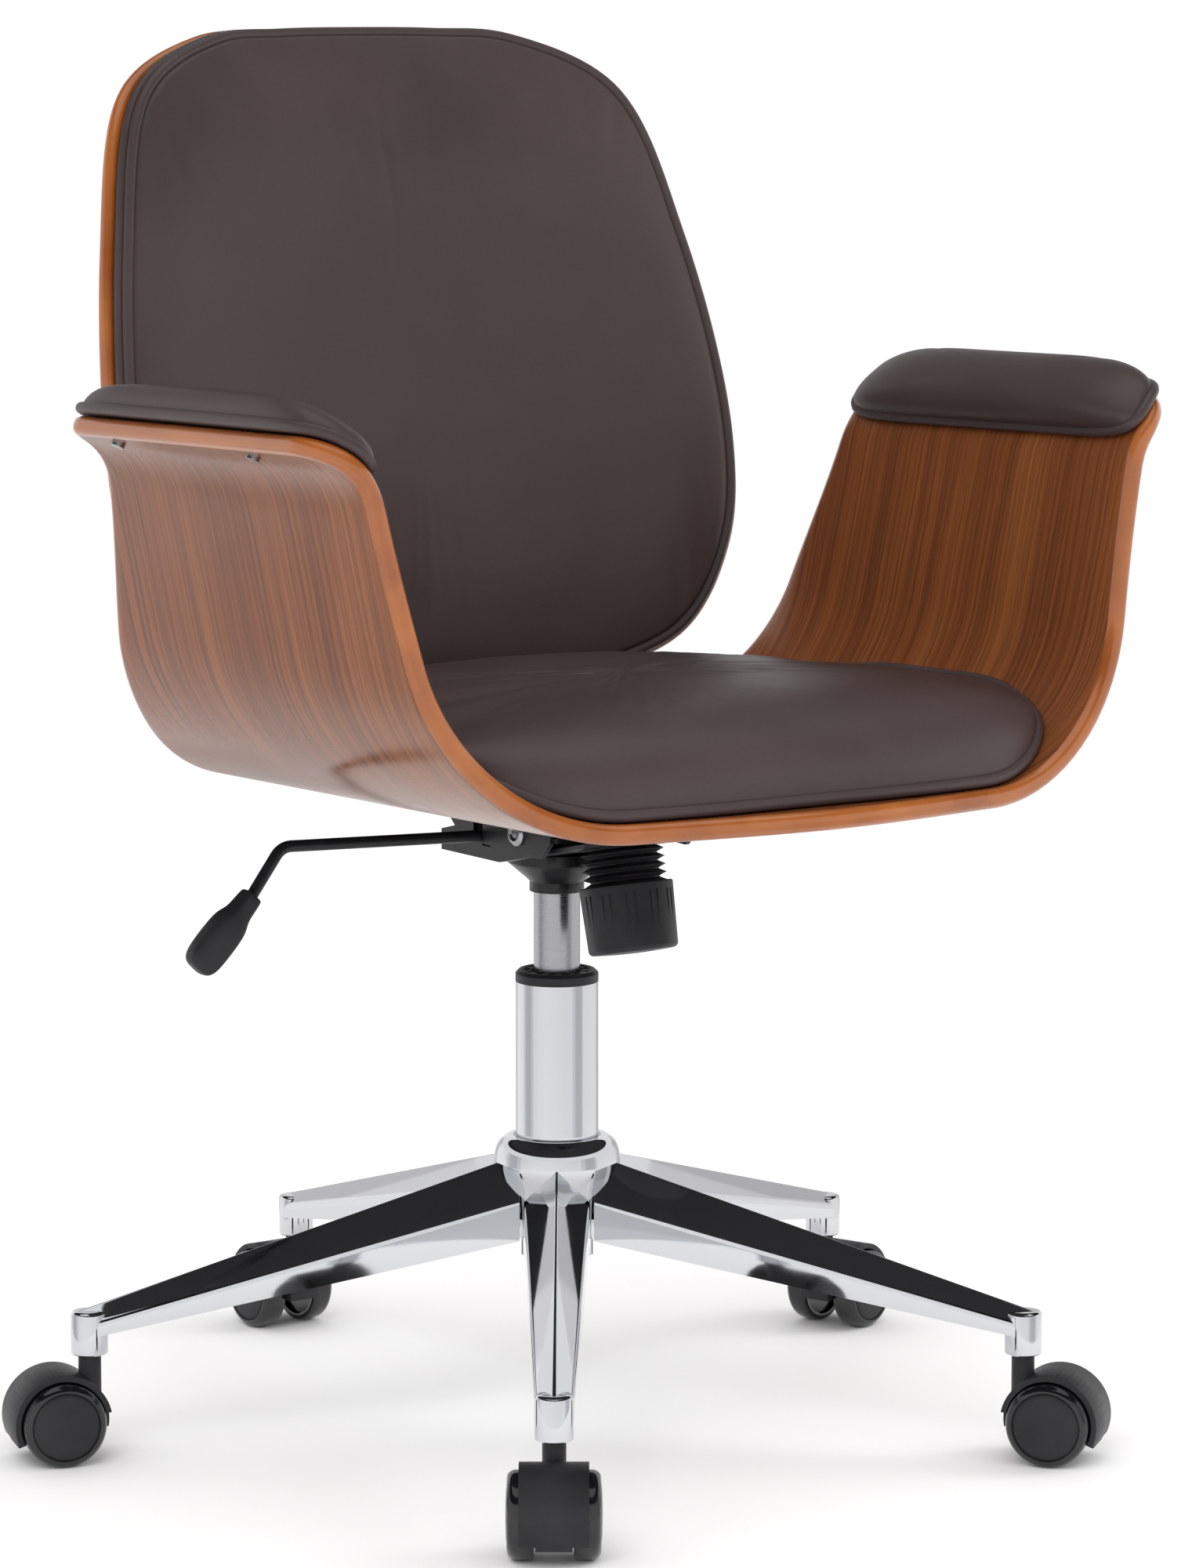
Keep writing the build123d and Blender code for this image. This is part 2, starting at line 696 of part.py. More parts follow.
# Arm pads: wrap over each lip, thickest at the roll
pad_inner_angle = radians(arm_pad_start_angle)
for side, side_name in ((1, "left"), (-1, "right")):
    with BuildPart() as arm_pad:
        top_a = lip_point(pad_inner_angle, ply + arm_pad_edge)
        top_b = lip_point((pad_inner_angle + lip) / 2, ply + arm_pad_thickness)
        top_c = lip_end(ply + arm_pad_edge, lip_length)
        with BuildSketch(profile_plane.offset(-80)):
            with BuildLine():
                Line(lip_end(ply + skin_gap, lip_length), lip_point(lip, ply + skin_gap))
                ThreePointArc(lip_point(lip, ply + skin_gap),
                              lip_point((lip + pad_inner_angle) / 2, ply + skin_gap),
                              lip_point(pad_inner_angle, ply + skin_gap))
                Line(lip_point(pad_inner_angle, ply + skin_gap), top_a)
                ThreePointArc(top_a, top_b, top_c)
                Line(top_c, lip_end(ply + skin_gap, lip_length))
            make_face()
        extrude(amount=400)
        with BuildSketch(slant_plane):
            with BuildLine():
                shell_outline(inset=3, beyond=18)
            make_face()
        extrude(amount=500, both=True, mode=Mode.INTERSECT)
        if side < 0:
            mirror(about=Plane.YZ)
            split(bisect_by=Plane.YZ, keep=Keep.BOTTOM)
    arm_pad.part.label = f"arm_pad_{side_name}"
    export_step(arm_pad.part, f"parts/arm_pad_{side_name}.step")

# Back: planes of the reclined back, z up along it, y backwards
recline = radians(back_recline)
back_up = Vector(0, sin(recline), cos(recline))
back_plane = Plane(origin=(0, back_foot_y, back_foot_z), x_dir=(1, 0, 0), z_dir=back_up)


def back_outline(forward, inset=0.0):
    """Egg outline of the back as seen from the wrap's axis, on the flat plane this far forward."""
    scale = (wrap_radius - forward) / wrap_radius
    middle = back_height / 2
    points = []
    for x, h in ((0, back_height), *back_edge_points, (0, 0)):
        reach = x * (1 - inset / back_half_width)
        level = middle + (h - middle) * (1 - inset / middle)
        points.append((wrap_radius * tan(asin(reach / wrap_radius)) * scale, level))
    upright = Plane(origin=back_plane.from_local_coords((0, -forward, 0)), x_dir=(1, 0, 0),
                    z_dir=-back_plane.y_dir)
    with BuildSketch(upright) as outline:
        with BuildLine():
            Spline(*points, tangents=((1, 0), (-1, 0)))
            mirror(about=Plane.YZ)
        make_face()
    return outline.sketch


def wrap_sector(near, far):
    """Plate bent round the sitter, between two distances behind the wrap surface."""
    with BuildSketch(back_plane.offset(-30)) as sector:
        with Locations((0, -wrap_radius)):
            Circle(wrap_radius + far)
            Circle(wrap_radius + near, mode=Mode.SUBTRACT)
        Rectangle(700, 260, align=(Align.CENTER, Align.CENTER), mode=Mode.INTERSECT)
    return sector.sketch


shell_near = back_pad_rear + back_pad_gap
shell_far = shell_near + back_ply
back_rear_plane = Plane(origin=back_plane.from_local_coords((0, shell_far, 0)), x_dir=(1, 0, 0),
                        z_dir=-back_plane.y_dir)
with BuildPart() as back_shell:
    extrude(wrap_sector(shell_near, shell_far), amount=back_height + 60)
    loft([back_outline(-40, back_shell_inset), back_outline(140, back_shell_inset)], ruled=True,
         mode=Mode.INTERSECT)
    with BuildSketch(back_rear_plane):
        with Locations(*bracket_back_bolts_at):
            Circle(screw_diameter / 2 + seat_fit)
    extrude(amount=back_ply - 1.5, mode=Mode.SUBTRACT)
back_shell.part.label = "back_shell"
export_step(back_shell.part, "parts/back_shell.step")

# Back pad: bent with the shell, fuller in the middle than at its piped edge
pad_edge_forward = wrap_radius - sqrt(wrap_radius ** 2 - back_half_width ** 2) + 6
with BuildPart() as back_pad:
    with BuildSketch(back_plane.offset(-30)):
        with BuildLine():
            half = back_blank_half_width
            rear_forward = wrap_radius - sqrt((wrap_radius + back_pad_rear) ** 2 - half ** 2)
            front_forward = pad_edge_forward + 28
            Line((half, -rear_forward), (half, -front_forward))
            ThreePointArc((half, -front_forward), (0, -back_pad_crown), (-half, -front_forward))
            Line((-half, -front_forward), (-half, -rear_forward))
            ThreePointArc((-half, -rear_forward), (0, back_pad_rear), (half, -rear_forward))
        make_face()
    extrude(amount=back_height + 60)
    loft([back_outline(-40, back_pad_inset), back_outline(190, back_pad_inset)], ruled=True,
         mode=Mode.INTERSECT)
back_pad.part.label = "back_pad"
export_step(back_pad.part, "parts/back_pad.step")

# Tilt mechanism: lift body, pressed from sheet, with a cone that grips the gas cylinder
tension_tilt = radians(tension_lean)
tension_plane = Plane(
    origin=(0, tension_y, tension_z),
    x_dir=(1, 0, 0),
    z_dir=(0, -sin(tension_tilt), -cos(tension_tilt)),
)
side_plane = Plane(origin=(0, 0, 0), x_dir=(0, 1, 0), z_dir=(1, 0, 0))
lever_plane = Plane(origin=(0, lever_y, 0), x_dir=(1, 0, 0), z_dir=(0, -1, 0))
floor_break = tension_y + (tension_z - pot_floor) / tan(tension_tilt)


def front_floor(y):
    """Height of the underside of the rising front floor."""
    return tension_z - (y - tension_y) * tan(tension_tilt)


pot_rear_top = pot_top - (pot_rear - pivot_y) * tan(radians(tilt_limit + 1.5))
wall_front = pivot_y - 10
with BuildPart() as mech_pot:
    with BuildSketch(side_plane.offset(-pot_half_width)):
        with BuildLine():
            Polyline(
                (pot_rear, pot_floor),
                (floor_break, pot_floor),
                (pot_front, front_floor(pot_front)),
                (pot_front, front_floor(pot_front) + pot_wall),
                (wall_front, front_floor(wall_front) + pot_wall),
                (wall_front, pot_top),
                (pivot_y, pot_top),
                (pot_rear, pot_rear_top),
                close=True,
            )
        make_face()
    extrude(amount=2 * pot_half_width)
    with BuildSketch(side_plane.offset(-pot_half_width + pot_wall)):
        with BuildLine():
            Polyline(
                (pot_rear - pot_wall, pot_floor + pot_wall),
                (floor_break, pot_floor + pot_wall),
                (wall_front - 1, front_floor(wall_front - 1) + pot_wall),
                (wall_front - 1, pot_top + 10),
                (pot_rear - pot_wall, pot_top + 10),
                close=True,
            )
        make_face()
    extrude(amount=2 * pot_half_width - 2 * pot_wall, mode=Mode.SUBTRACT)
    with BuildSketch(Plane.XZ):
        with BuildLine():
            Polyline(
                (0, socket_bottom),
                (socket_diameter / 2, socket_bottom),
                (socket_diameter / 2, socket_bottom + 6),
                (socket_diameter / 2 + 2, socket_bottom + 8),
                (30, pot_floor - 4),
                (30, pot_floor + pot_wall),
                (0, pot_floor + pot_wall),
                close=True,
            )
        make_face()
    revolve(axis=Axis.Z)
    with BuildSketch(Plane.XY.offset(socket_bottom - 1)):
        Circle(cylinder_radius + seat_fit)
    extrude(amount=pot_floor + 30 - socket_bottom, mode=Mode.SUBTRACT)
    # guide pad under the slider that carries the lever
    with BuildSketch(Plane.XY.offset(pot_floor + pot_wall - 0.1)):
        with Locations((lever_pivot_x - 4, lever_y)):
            Rectangle(26, 16)
    extrude(amount=slider_bottom - skin_gap / 3 - pot_floor - pot_wall + 0.1)
    with BuildSketch(Plane.XY.offset(pot_floor - 5)):
        Circle(cylinder_radius + 1)
    extrude(amount=30, mode=Mode.SUBTRACT)
    with BuildSketch(Plane.XY.offset(socket_bottom)):
        Circle(socket_diameter / 2)
        Circle(cylinder_radius + seat_fit, mode=Mode.SUBTRACT)
    extrude(amount=pot_floor - 4 - socket_bottom)
    # pivot hole, way through for the lever, hole for the tension bolt
    with BuildSketch(side_plane.offset(-pot_half_width - 1)):
        with Locations((pivot_y, pivot_z)):
            Circle(pivot_diameter / 2 + seat_fit)
    extrude(amount=2 * pot_half_width + 2, mode=Mode.SUBTRACT)
    with BuildSketch(side_plane.offset(-pot_half_width - 1)):
        with Locations((lever_y, lever_z + 2)):
            Rectangle(lever_diameter + 2, lever_diameter + 10)
    extrude(amount=pot_wall + 2, mode=Mode.SUBTRACT)
    with BuildSketch(tension_plane.offset(-10)):
        Circle(bolt_diameter / 2 + 1)
    extrude(amount=20, mode=Mode.SUBTRACT)
mech_pot.part.label = "mech_pot"
export_step(mech_pot.part, "parts/mech_pot.step")

# Seat plate: an upside-down channel with ears, screwed under the shell and hung on the pivot
flange_inner = pot_half_width + plate_side_gap
flange_outer = flange_inner + plate_thickness
seat_side_plane = Plane(origin=seat_plane.origin, x_dir=seat_plane.y_dir, z_dir=(1, 0, 0))
lug_level = lug_top - seat_bottom + lug_y * tan(slope)
with BuildPart() as seat_plate:
    with BuildSketch(seat_plane.offset(-plate_thickness)):
        RectangleRounded(2 * plate_half_width, 2 * plate_half_length, 12)
        with Locations(*seat_screws_at):
            Circle(screw_diameter / 2 + seat_fit, mode=Mode.SUBTRACT)
    extrude(amount=plate_thickness)
    for start in (-flange_outer, flange_inner):
        with BuildSketch(seat_side_plane.offset(start)):
            with BuildLine():
                Polyline((45, -1), (-72, -1), (-72, -26), (-62, -flange_drop), (11, -flange_drop + 3))
                TangentArc((11, -flange_drop + 3), (45, -1), tangent=(1, 0.06))
            make_face()
        extrude(amount=plate_thickness)
    # cross bar that carries the ball of the tension bolt
    with BuildSketch(seat_plane.offset(lug_level - plate_thickness)):
        with Locations((0, lug_y)):
            Rectangle(2 * flange_inner + 2, 20)
            SlotOverall(15, bolt_diameter + 1, rotation=90, mode=Mode.SUBTRACT)
    extrude(amount=plate_thickness)
    with BuildSketch(side_plane.offset(-flange_outer - 1)):
        with Locations((pivot_y, pivot_z)):
            Circle(pivot_diameter / 2 + running_fit)
    extrude(amount=2 * flange_outer + 2, mode=Mode.SUBTRACT)
    with BuildSketch(side_plane.offset(-flange_outer - 1)):
        with Locations((lever_y, lever_z - 15)):
            Rectangle(lever_diameter + 3, 31, align=(Align.CENTER, Align.MIN))
    extrude(amount=plate_thickness + 2, mode=Mode.SUBTRACT)
seat_plate.part.label = "seat_plate"
export_step(seat_plate.part, "parts/seat_plate.step")

# Pivot pin with dished rivet heads
with BuildPart() as pivot_pin:
    with BuildSketch(Plane(origin=(0, pivot_y, pivot_z), x_dir=(1, 0, 0), z_dir=(0, -1, 0))):
        with BuildLine():
            Polyline(
                (0, 0),
                (flange_outer + 2.4, 0),
                (flange_outer + 2.4, 3),
                (flange_outer + 3.2, 5),
                (flange_outer + 3.2, 6.5),
                (flange_outer + 1.6, 8),
                (flange_outer + 0.2, 8),
                (flange_outer + 0.2, pivot_diameter / 2),
                (0, pivot_diameter / 2),
                close=True,
            )
        make_face()
    revolve(axis=Axis((0, pivot_y, pivot_z), (1, 0, 0)))
    mirror(about=Plane.YZ)
pivot_pin.part.label = "pivot_pin"
export_step(pivot_pin.part, "parts/pivot_pin.step")

# Tension unit: ridged sleeve under the front floor, spring, plate, ball bolt and knob
tension_axis = Axis(tension_plane.origin, tension_plane.z_dir)
tension_section = Plane(origin=tension_plane.origin, x_dir=(1, 0, 0), z_dir=tension_plane.y_dir)
down = -1 if tension_section.y_dir.dot(tension_plane.z_dir) < 0 else 1
with BuildPart() as spring_sleeve:
    ridge_points = [(sleeve_root_diameter / 2, 0)]
    for ridge in range(ridge_count):
        start = ridge * ridge_pitch + 1
        ridge_points.append((sleeve_root_diameter / 2, down * start))
        ridge_points.append((sleeve_tip_diameter / 2, down * (start + ridge_pitch * 0.5)))
        ridge_points.append((sleeve_root_diameter / 2, down * (start + ridge_pitch * 0.9)))
    with BuildSketch(tension_section):
        with BuildLine():
            Polyline(
                (sleeve_bore / 2, 0),
                *ridge_points,
                (sleeve_root_diameter / 2, down * sleeve_length),
                (sleeve_bore / 2, down * sleeve_length),
                close=True,
            )
        make_face()
    revolve(axis=tension_axis)
spring_sleeve.part.label = "spring_sleeve"
export_step(spring_sleeve.part, "parts/spring_sleeve.step")

spring_pitch = (spring_plate_start - spring_wire - 2 * spring_end_gap) / spring_turns
with BuildPart() as tension_spring:
    with BuildLine():
        coil = Helix(spring_pitch, spring_pitch * spring_turns, spring_mean_diameter / 2,
                     center=tension_plane.offset(spring_wire / 2 + spring_end_gap).origin,
                     direction=tension_plane.z_dir)
    with BuildSketch(Plane(origin=coil @ 0, z_dir=coil % 0)):
        Circle(spring_wire / 2)
    sweep(path=coil, is_frenet=True)
print("spring least self-gap", round(spring_pitch - spring_wire, 2))
tension_spring.part.label = "tension_spring"
export_step(tension_spring.part, "parts/tension_spring.step")

with BuildPart() as spring_plate:
    with BuildSketch(tension_plane.offset(spring_plate_start)):
        Circle(sleeve_bore / 2 - spring_plate_gap)
        Circle(bolt_diameter / 2 + running_fit, mode=Mode.SUBTRACT)
    extrude(amount=spring_plate_thickness)
spring_plate.part.label = "spring_plate"
export_step(spring_plate.part, "parts/spring_plate.step")

ball_rise = sqrt((ball_diameter / 2) ** 2 - ((bolt_diameter + 1) / 2) ** 2)
ball_centre = (lug_top + ball_rise + 0.4 - tension_z) / cos(tension_tilt)
knob_end = knob_start + knob_length
bolt_end = knob_end - 6
with BuildPart() as tension_bolt:
    with BuildSketch(tension_plane.offset(-ball_centre)):
        Circle(bolt_diameter / 2)
    extrude(amount=ball_centre + bolt_end)
    with Locations(tension_plane.offset(-ball_centre)):
        Sphere(ball_diameter / 2)
tension_bolt.part.label = "tension_bolt"
export_step(tension_bolt.part, "parts/tension_bolt.step")

knob_cap = knob_end_diameter / 2 - 3
knob_hub_start = spring_plate_start + spring_plate_thickness + skin_gap
with BuildPart() as tension_knob:
    with BuildSketch(tension_section):
        with BuildLine():
            Polyline(
                (0, down * knob_end),
                (0, down * (bolt_end + skin_gap)),
                (bolt_diameter / 2 + running_fit, down * (bolt_end + skin_gap)),
                (bolt_diameter / 2 + running_fit, down * knob_hub_start),
                (bolt_diameter / 2 + 4, down * knob_hub_start),
                (bolt_diameter / 2 + 4, down * (knob_end - 5)),
                (knob_end_diameter / 2 - knob_wall, down * (knob_end - 5)),
                (knob_diameter / 2 - knob_wall, down * knob_start),
                (knob_diameter / 2 - 0.6, down * knob_start),
                (knob_diameter / 2, down * (knob_start + 0.8)),
                (knob_end_diameter / 2, down * (knob_end - 4)),
            )
            ThreePointArc((knob_end_diameter / 2, down * (knob_end - 4)),
                          (knob_end_diameter / 2 - 0.9, down * (knob_end - 2)),
                          (knob_cap, down * (knob_end - 1)))
            ThreePointArc((knob_cap, down * (knob_end - 1)),
                          (knob_cap / 2, down * (knob_end - cap_fall(knob_cap, 1.0))),
                          (0, down * knob_end))
        make_face()
    revolve(axis=tension_axis)
    with BuildSketch(tension_plane.offset(knob_start + 5)):
        for pair in range(knob_groove_pairs):
            for shift in (-knob_groove_shift, knob_groove_shift):
                heading = pair * 360 / knob_groove_pairs + shift
                angle = radians(heading)
                with Locations((knob_diameter / 2 * cos(angle), knob_diameter / 2 * sin(angle))):
                    Rectangle(knob_groove, knob_groove, rotation=heading)
    extrude(amount=knob_length, mode=Mode.SUBTRACT)
tension_knob.part.label = "tension_knob"
export_step(tension_knob.part, "parts/tension_knob.step")

# Lever: slider on its guide pad, bent rod and moulded paddle
with BuildPart() as lock_slider:
    with BuildSketch(Plane.XY.offset(slider_bottom)):
        with Locations((lever_pivot_x, lever_y)):
            Rectangle(14, 14)
    extrude(amount=lever_z + lever_diameter / 2 + 4 - slider_bottom)
    with BuildSketch(lever_plane):
        with BuildLine():
            Polyline(
                (lever_pivot_x - 10, lever_z - lever_diameter / 2 - 0.4),
                (lever_pivot_x, lever_z - lever_diameter / 2 - 0.3),
                (lever_pivot_x + 10, lever_z - lever_diameter / 2 - 1.8),
                (lever_pivot_x + 10, lever_z + lever_diameter / 2 + 0.5),
                (lever_pivot_x, lever_z + lever_diameter / 2 + 0.3),
                (lever_pivot_x - 10, lever_z + lever_diameter / 2 + 1.8),
                close=True,
            )
        make_face()
    extrude(amount=lever_diameter / 2 + 0.4, both=True, mode=Mode.SUBTRACT)
lock_slider.part.label = "lock_slider"
export_step(lock_slider.part, "parts/lock_slider.step")

rod_bend = (-lever_reach, lever_z + lever_bend_rise)
handle_start = (lever_end[0] + 3, lever_end[1] + 4)
with BuildPart() as lever_rod:
    with BuildLine(lever_plane):
        rod_path = FilletPolyline((8, lever_z), (-pot_half_width, lever_z), rod_bend, lever_end,
                                  (lever_end[0] - 14, lever_end[1] - 14.5), radius=lever_bend_radius)
    with BuildSketch(Plane(origin=rod_path @ 0, z_dir=rod_path % 0)):
        Circle(lever_diameter / 2)
    sweep(path=rod_path)
lever_rod.part.label = "lever_rod"
export_step(lever_rod.part, "parts/lever_rod.step")

with BuildPart() as lever_handle:
    paddle_plane = Plane(origin=lever_plane.from_local_coords((handle_start[0], handle_start[1], 0)),
                         x_dir=(-sin(radians(handle_tilt)), 0, -cos(radians(handle_tilt))),
                         z_dir=(0, -1, 0))
    with BuildSketch(paddle_plane):
        with BuildLine():
            Polyline((0, 6), (12, 7), (20, handle_width / 2), (handle_length - 6, handle_width / 2))
            TangentArc((handle_length - 6, handle_width / 2), (handle_length - 6, -handle_width / 2),
                       tangent=(1, 0))
            Polyline((handle_length - 6, -handle_width / 2), (20, -handle_width / 2), (12, -7), (0, -6),
                     (0, 6))
        make_face()
    extrude(amount=handle_thickness / 2, both=True)
    add(lever_rod.part, mode=Mode.SUBTRACT)
lever_handle.part.label = "lever_handle"
export_step(lever_handle.part, "parts/lever_handle.step")

# Fasteners under the seat plate and under the lips
with BuildPart() as seat_screws:
    with BuildSketch(seat_plane.offset(-plate_thickness)):
        with Locations(*seat_screws_at):
            Circle(screw_diameter / 2)
    extrude(amount=ply - 3 + plate_thickness)
    with BuildSketch(seat_plane.offset(-plate_thickness)):
        with Locations(*seat_screws_at):
            Circle(screw_diameter)
    extrude(amount=-3)
seat_screws.part.label = "seat_screws"
export_step(seat_screws.part, "parts/seat_screws.step")

with BuildPart() as arm_pad_screws:
    for side in (1, -1):
        for row in arm_screw_rows:
            with BuildSketch(arm_screw_plane(side, row).offset(-0.3)):
                Circle(arm_screw_diameter / 2)
            extrude(amount=ply - 3)
            with BuildSketch(arm_screw_plane(side, row).offset(-0.3)):
                Circle(arm_screw_diameter)
            extrude(amount=-2.4)
arm_pad_screws.part.label = "arm_pad_screws"
export_step(arm_pad_screws.part, "parts/arm_pad_screws.step")

# Back bracket: one strap under the seat and up behind the back shell
strap_low = seat_plane.from_local_coords((0, 80, 0))
strap_foot = back_rear_plane.origin
strap_lean_y = strap_foot.Y - (strap_foot.Z - seat_bottom) * tan(recline)
strap_turn_y = strap_lean_y / (1 + tan(slope) * tan(recline))
strap_end_y = strap_foot.Y + (strap_top - strap_foot.Z) * tan(recline)
with BuildPart() as back_bracket:
    with BuildSketch(side_plane.offset(-strap_width / 2)):
        with BuildLine():
            shift = strap_thickness / cos(recline)
            Polyline(
                (strap_low.Y, strap_low.Z),
                (strap_turn_y, seat_bottom - strap_turn_y * tan(slope)),
                (strap_end_y, strap_top),
                (strap_end_y + shift, strap_top),
                (strap_turn_y + shift - strap_thickness * tan(recline),
                 seat_bottom - strap_turn_y * tan(slope) - strap_thickness),
                (strap_low.Y, strap_low.Z - strap_thickness),
                close=True,
            )
        make_face()
    extrude(amount=strap_width)
    with BuildSketch(seat_plane.offset(-strap_thickness - 1)):
        with Locations(*bracket_seat_bolts_at):
            Circle(screw_diameter / 2 + seat_fit)
    extrude(amount=strap_thickness + 2, mode=Mode.SUBTRACT)
    with BuildSketch(back_rear_plane.offset(-strap_thickness - 1)):
        with Locations(*bracket_back_bolts_at):
            Circle(screw_diameter / 2 + seat_fit)
    extrude(amount=strap_thickness + 2, mode=Mode.SUBTRACT)
back_bracket.part.label = "back_bracket"
export_step(back_bracket.part, "parts/back_bracket.step")

with BuildPart() as bracket_bolts:
    for bolt_plane, places, ply_depth in (
        (seat_plane, bracket_seat_bolts_at, ply),
        (back_rear_plane, bracket_back_bolts_at, back_ply),
    ):
        with BuildSketch(bolt_plane.offset(-strap_thickness)):
            with Locations(*places):
                Circle(screw_diameter / 2)
        extrude(amount=strap_thickness + ply_depth - 3)
        with BuildSketch(bolt_plane.offset(-strap_thickness)):
            with Locations(*places):
                Circle(screw_diameter)
        extrude(amount=-4)
bracket_bolts.part.label = "bracket_bolts"
export_step(bracket_bolts.part, "parts/bracket_bolts.step")
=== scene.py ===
import json
import math
import bpy
import bmesh
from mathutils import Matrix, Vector

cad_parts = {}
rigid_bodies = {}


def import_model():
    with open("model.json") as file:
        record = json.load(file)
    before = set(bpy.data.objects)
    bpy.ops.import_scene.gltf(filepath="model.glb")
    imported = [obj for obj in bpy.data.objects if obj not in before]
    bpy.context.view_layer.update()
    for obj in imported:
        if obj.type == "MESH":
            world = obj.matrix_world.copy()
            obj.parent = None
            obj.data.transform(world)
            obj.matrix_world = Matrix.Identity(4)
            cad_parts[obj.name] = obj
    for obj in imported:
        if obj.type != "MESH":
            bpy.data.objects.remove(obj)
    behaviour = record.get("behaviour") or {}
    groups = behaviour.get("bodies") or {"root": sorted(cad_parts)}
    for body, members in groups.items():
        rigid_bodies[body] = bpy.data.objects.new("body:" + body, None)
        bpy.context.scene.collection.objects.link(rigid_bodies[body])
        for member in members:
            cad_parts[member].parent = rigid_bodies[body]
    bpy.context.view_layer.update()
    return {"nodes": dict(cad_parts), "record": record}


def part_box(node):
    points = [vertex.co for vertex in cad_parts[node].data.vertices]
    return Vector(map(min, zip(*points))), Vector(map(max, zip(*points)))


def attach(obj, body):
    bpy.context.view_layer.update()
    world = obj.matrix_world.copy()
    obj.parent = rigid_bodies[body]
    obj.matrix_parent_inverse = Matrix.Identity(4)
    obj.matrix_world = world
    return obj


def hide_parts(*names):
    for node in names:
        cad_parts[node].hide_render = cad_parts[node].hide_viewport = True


for leftover in list(bpy.data.objects):  # the factory cube, lamp and camera
    bpy.data.objects.remove(leftover)
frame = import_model()
nodes = frame["nodes"]
print("frame loaded")


# Small helpers for colours, nodes and materials

def srgb(hexText):
    values = []
    for start in (0, 2, 4):
        c = int(hexText[start:start + 2], 16) / 255
        values.append(c / 12.92 if c <= 0.04045 else ((c + 0.055) / 1.055) ** 2.4)
    return (*values, 1.0)


def grey(value):
    # a plain number as a ramp's colour
    return (value, value, value, 1.0)


def repeats(millimetres):
    # scale of a pattern with this spacing: how often it repeats in a metre
    return 1000.0 / millimetres


def setInputs(tree, node, inputs):
    # links what is a socket and sets what is a constant
    for key, value in inputs.items():
        if isinstance(value, bpy.types.NodeSocket):
            tree.links.new(value, node.inputs[key])
        else:
            node.inputs[key].default_value = value


def addNode(tree, kind, inputs=None, stops=(), **settings):
    # stops are the places and colours of a ramp
    node = tree.nodes.new(kind)
    for key, value in settings.items():
        setattr(node, key, value)
    setInputs(tree, node, inputs or {})
    if stops:
        elements = node.color_ramp.elements
        while len(elements) < len(stops):
            elements.new(0.5)
        for element, (place, colour) in zip(elements, stops):
            element.position = place
            element.color = colour
    return node


def newMaterial(name):
    material = bpy.data.materials.new(name)
    material.use_nodes = True
    tree = material.node_tree
    return material, tree, tree.nodes["Principled BSDF"]


# Materials: pattern sizes in millimetres, bump depths in metres, roughness from smooth to dull.
# In a Mix node, inputs 4 and 5 with output 1 mix vectors, and inputs 6 and 7 with output 2 mix colours

def makeMetal(name, look):
    # bare or plated metal: a mirror whose sharpness drifts with this spacing in x, y and z
    material, tree, shader = newMaterial(name)
    coords = addNode(tree, "ShaderNodeTexCoord").outputs["Object"]
    spaced = addNode(tree, "ShaderNodeMapping",
                     {"Vector": coords, "Scale": [repeats(spacing) for spacing in look["spacing"]]})
    haze = addNode(tree, "ShaderNodeTexNoise",
                   {"Vector": spaced.outputs["Vector"], "Scale": 1.0, "Detail": look["detail"]})
    rough = addNode(tree, "ShaderNodeValToRGB", {"Fac": haze.outputs["Fac"]},
                    [(0.3, grey(look["smooth"])), (0.7, grey(look["dull"]))])
    setInputs(tree, shader, {"Base Color": srgb(look["colour"]), "Metallic": 1.0,
                             "Roughness": rough.outputs["Color"]})
    return material


def makeBlack(name, look):
    # black plastic or paint: an even dark body that drifts a little in shade and shine, with a fine grain
    drift = 25.0
    material, tree, shader = newMaterial(name)
    coords = addNode(tree, "ShaderNodeTexCoord").outputs["Object"]
    fine = addNode(tree, "ShaderNodeTexNoise",
                   {"Vector": coords, "Scale": repeats(look["grain"]), "Detail": 4.0})
    wide = addNode(tree, "ShaderNodeTexNoise", {"Vector": coords, "Scale": repeats(drift), "Detail": 2.0})
    colour = addNode(tree, "ShaderNodeValToRGB", {"Fac": wide.outputs["Fac"]},
                     [(0.3, srgb(look["dark"])), (0.7, srgb(look["light"]))])
    rough = addNode(tree, "ShaderNodeValToRGB", {"Fac": wide.outputs["Fac"]},
                    [(0.3, grey(look["smooth"])), (0.7, grey(look["dull"]))])
    bump = addNode(tree, "ShaderNodeBump",
                   {"Height": fine.outputs["Fac"], "Strength": 0.25, "Distance": look["depth"]})
    setInputs(tree, shader, {"Base Color": colour.outputs["Color"], "Roughness": rough.outputs["Color"],
                             "Normal": bump.outputs["Normal"], "Coat Weight": look["coat"],
                             "Specular IOR Level": look["specular"]})
    return material


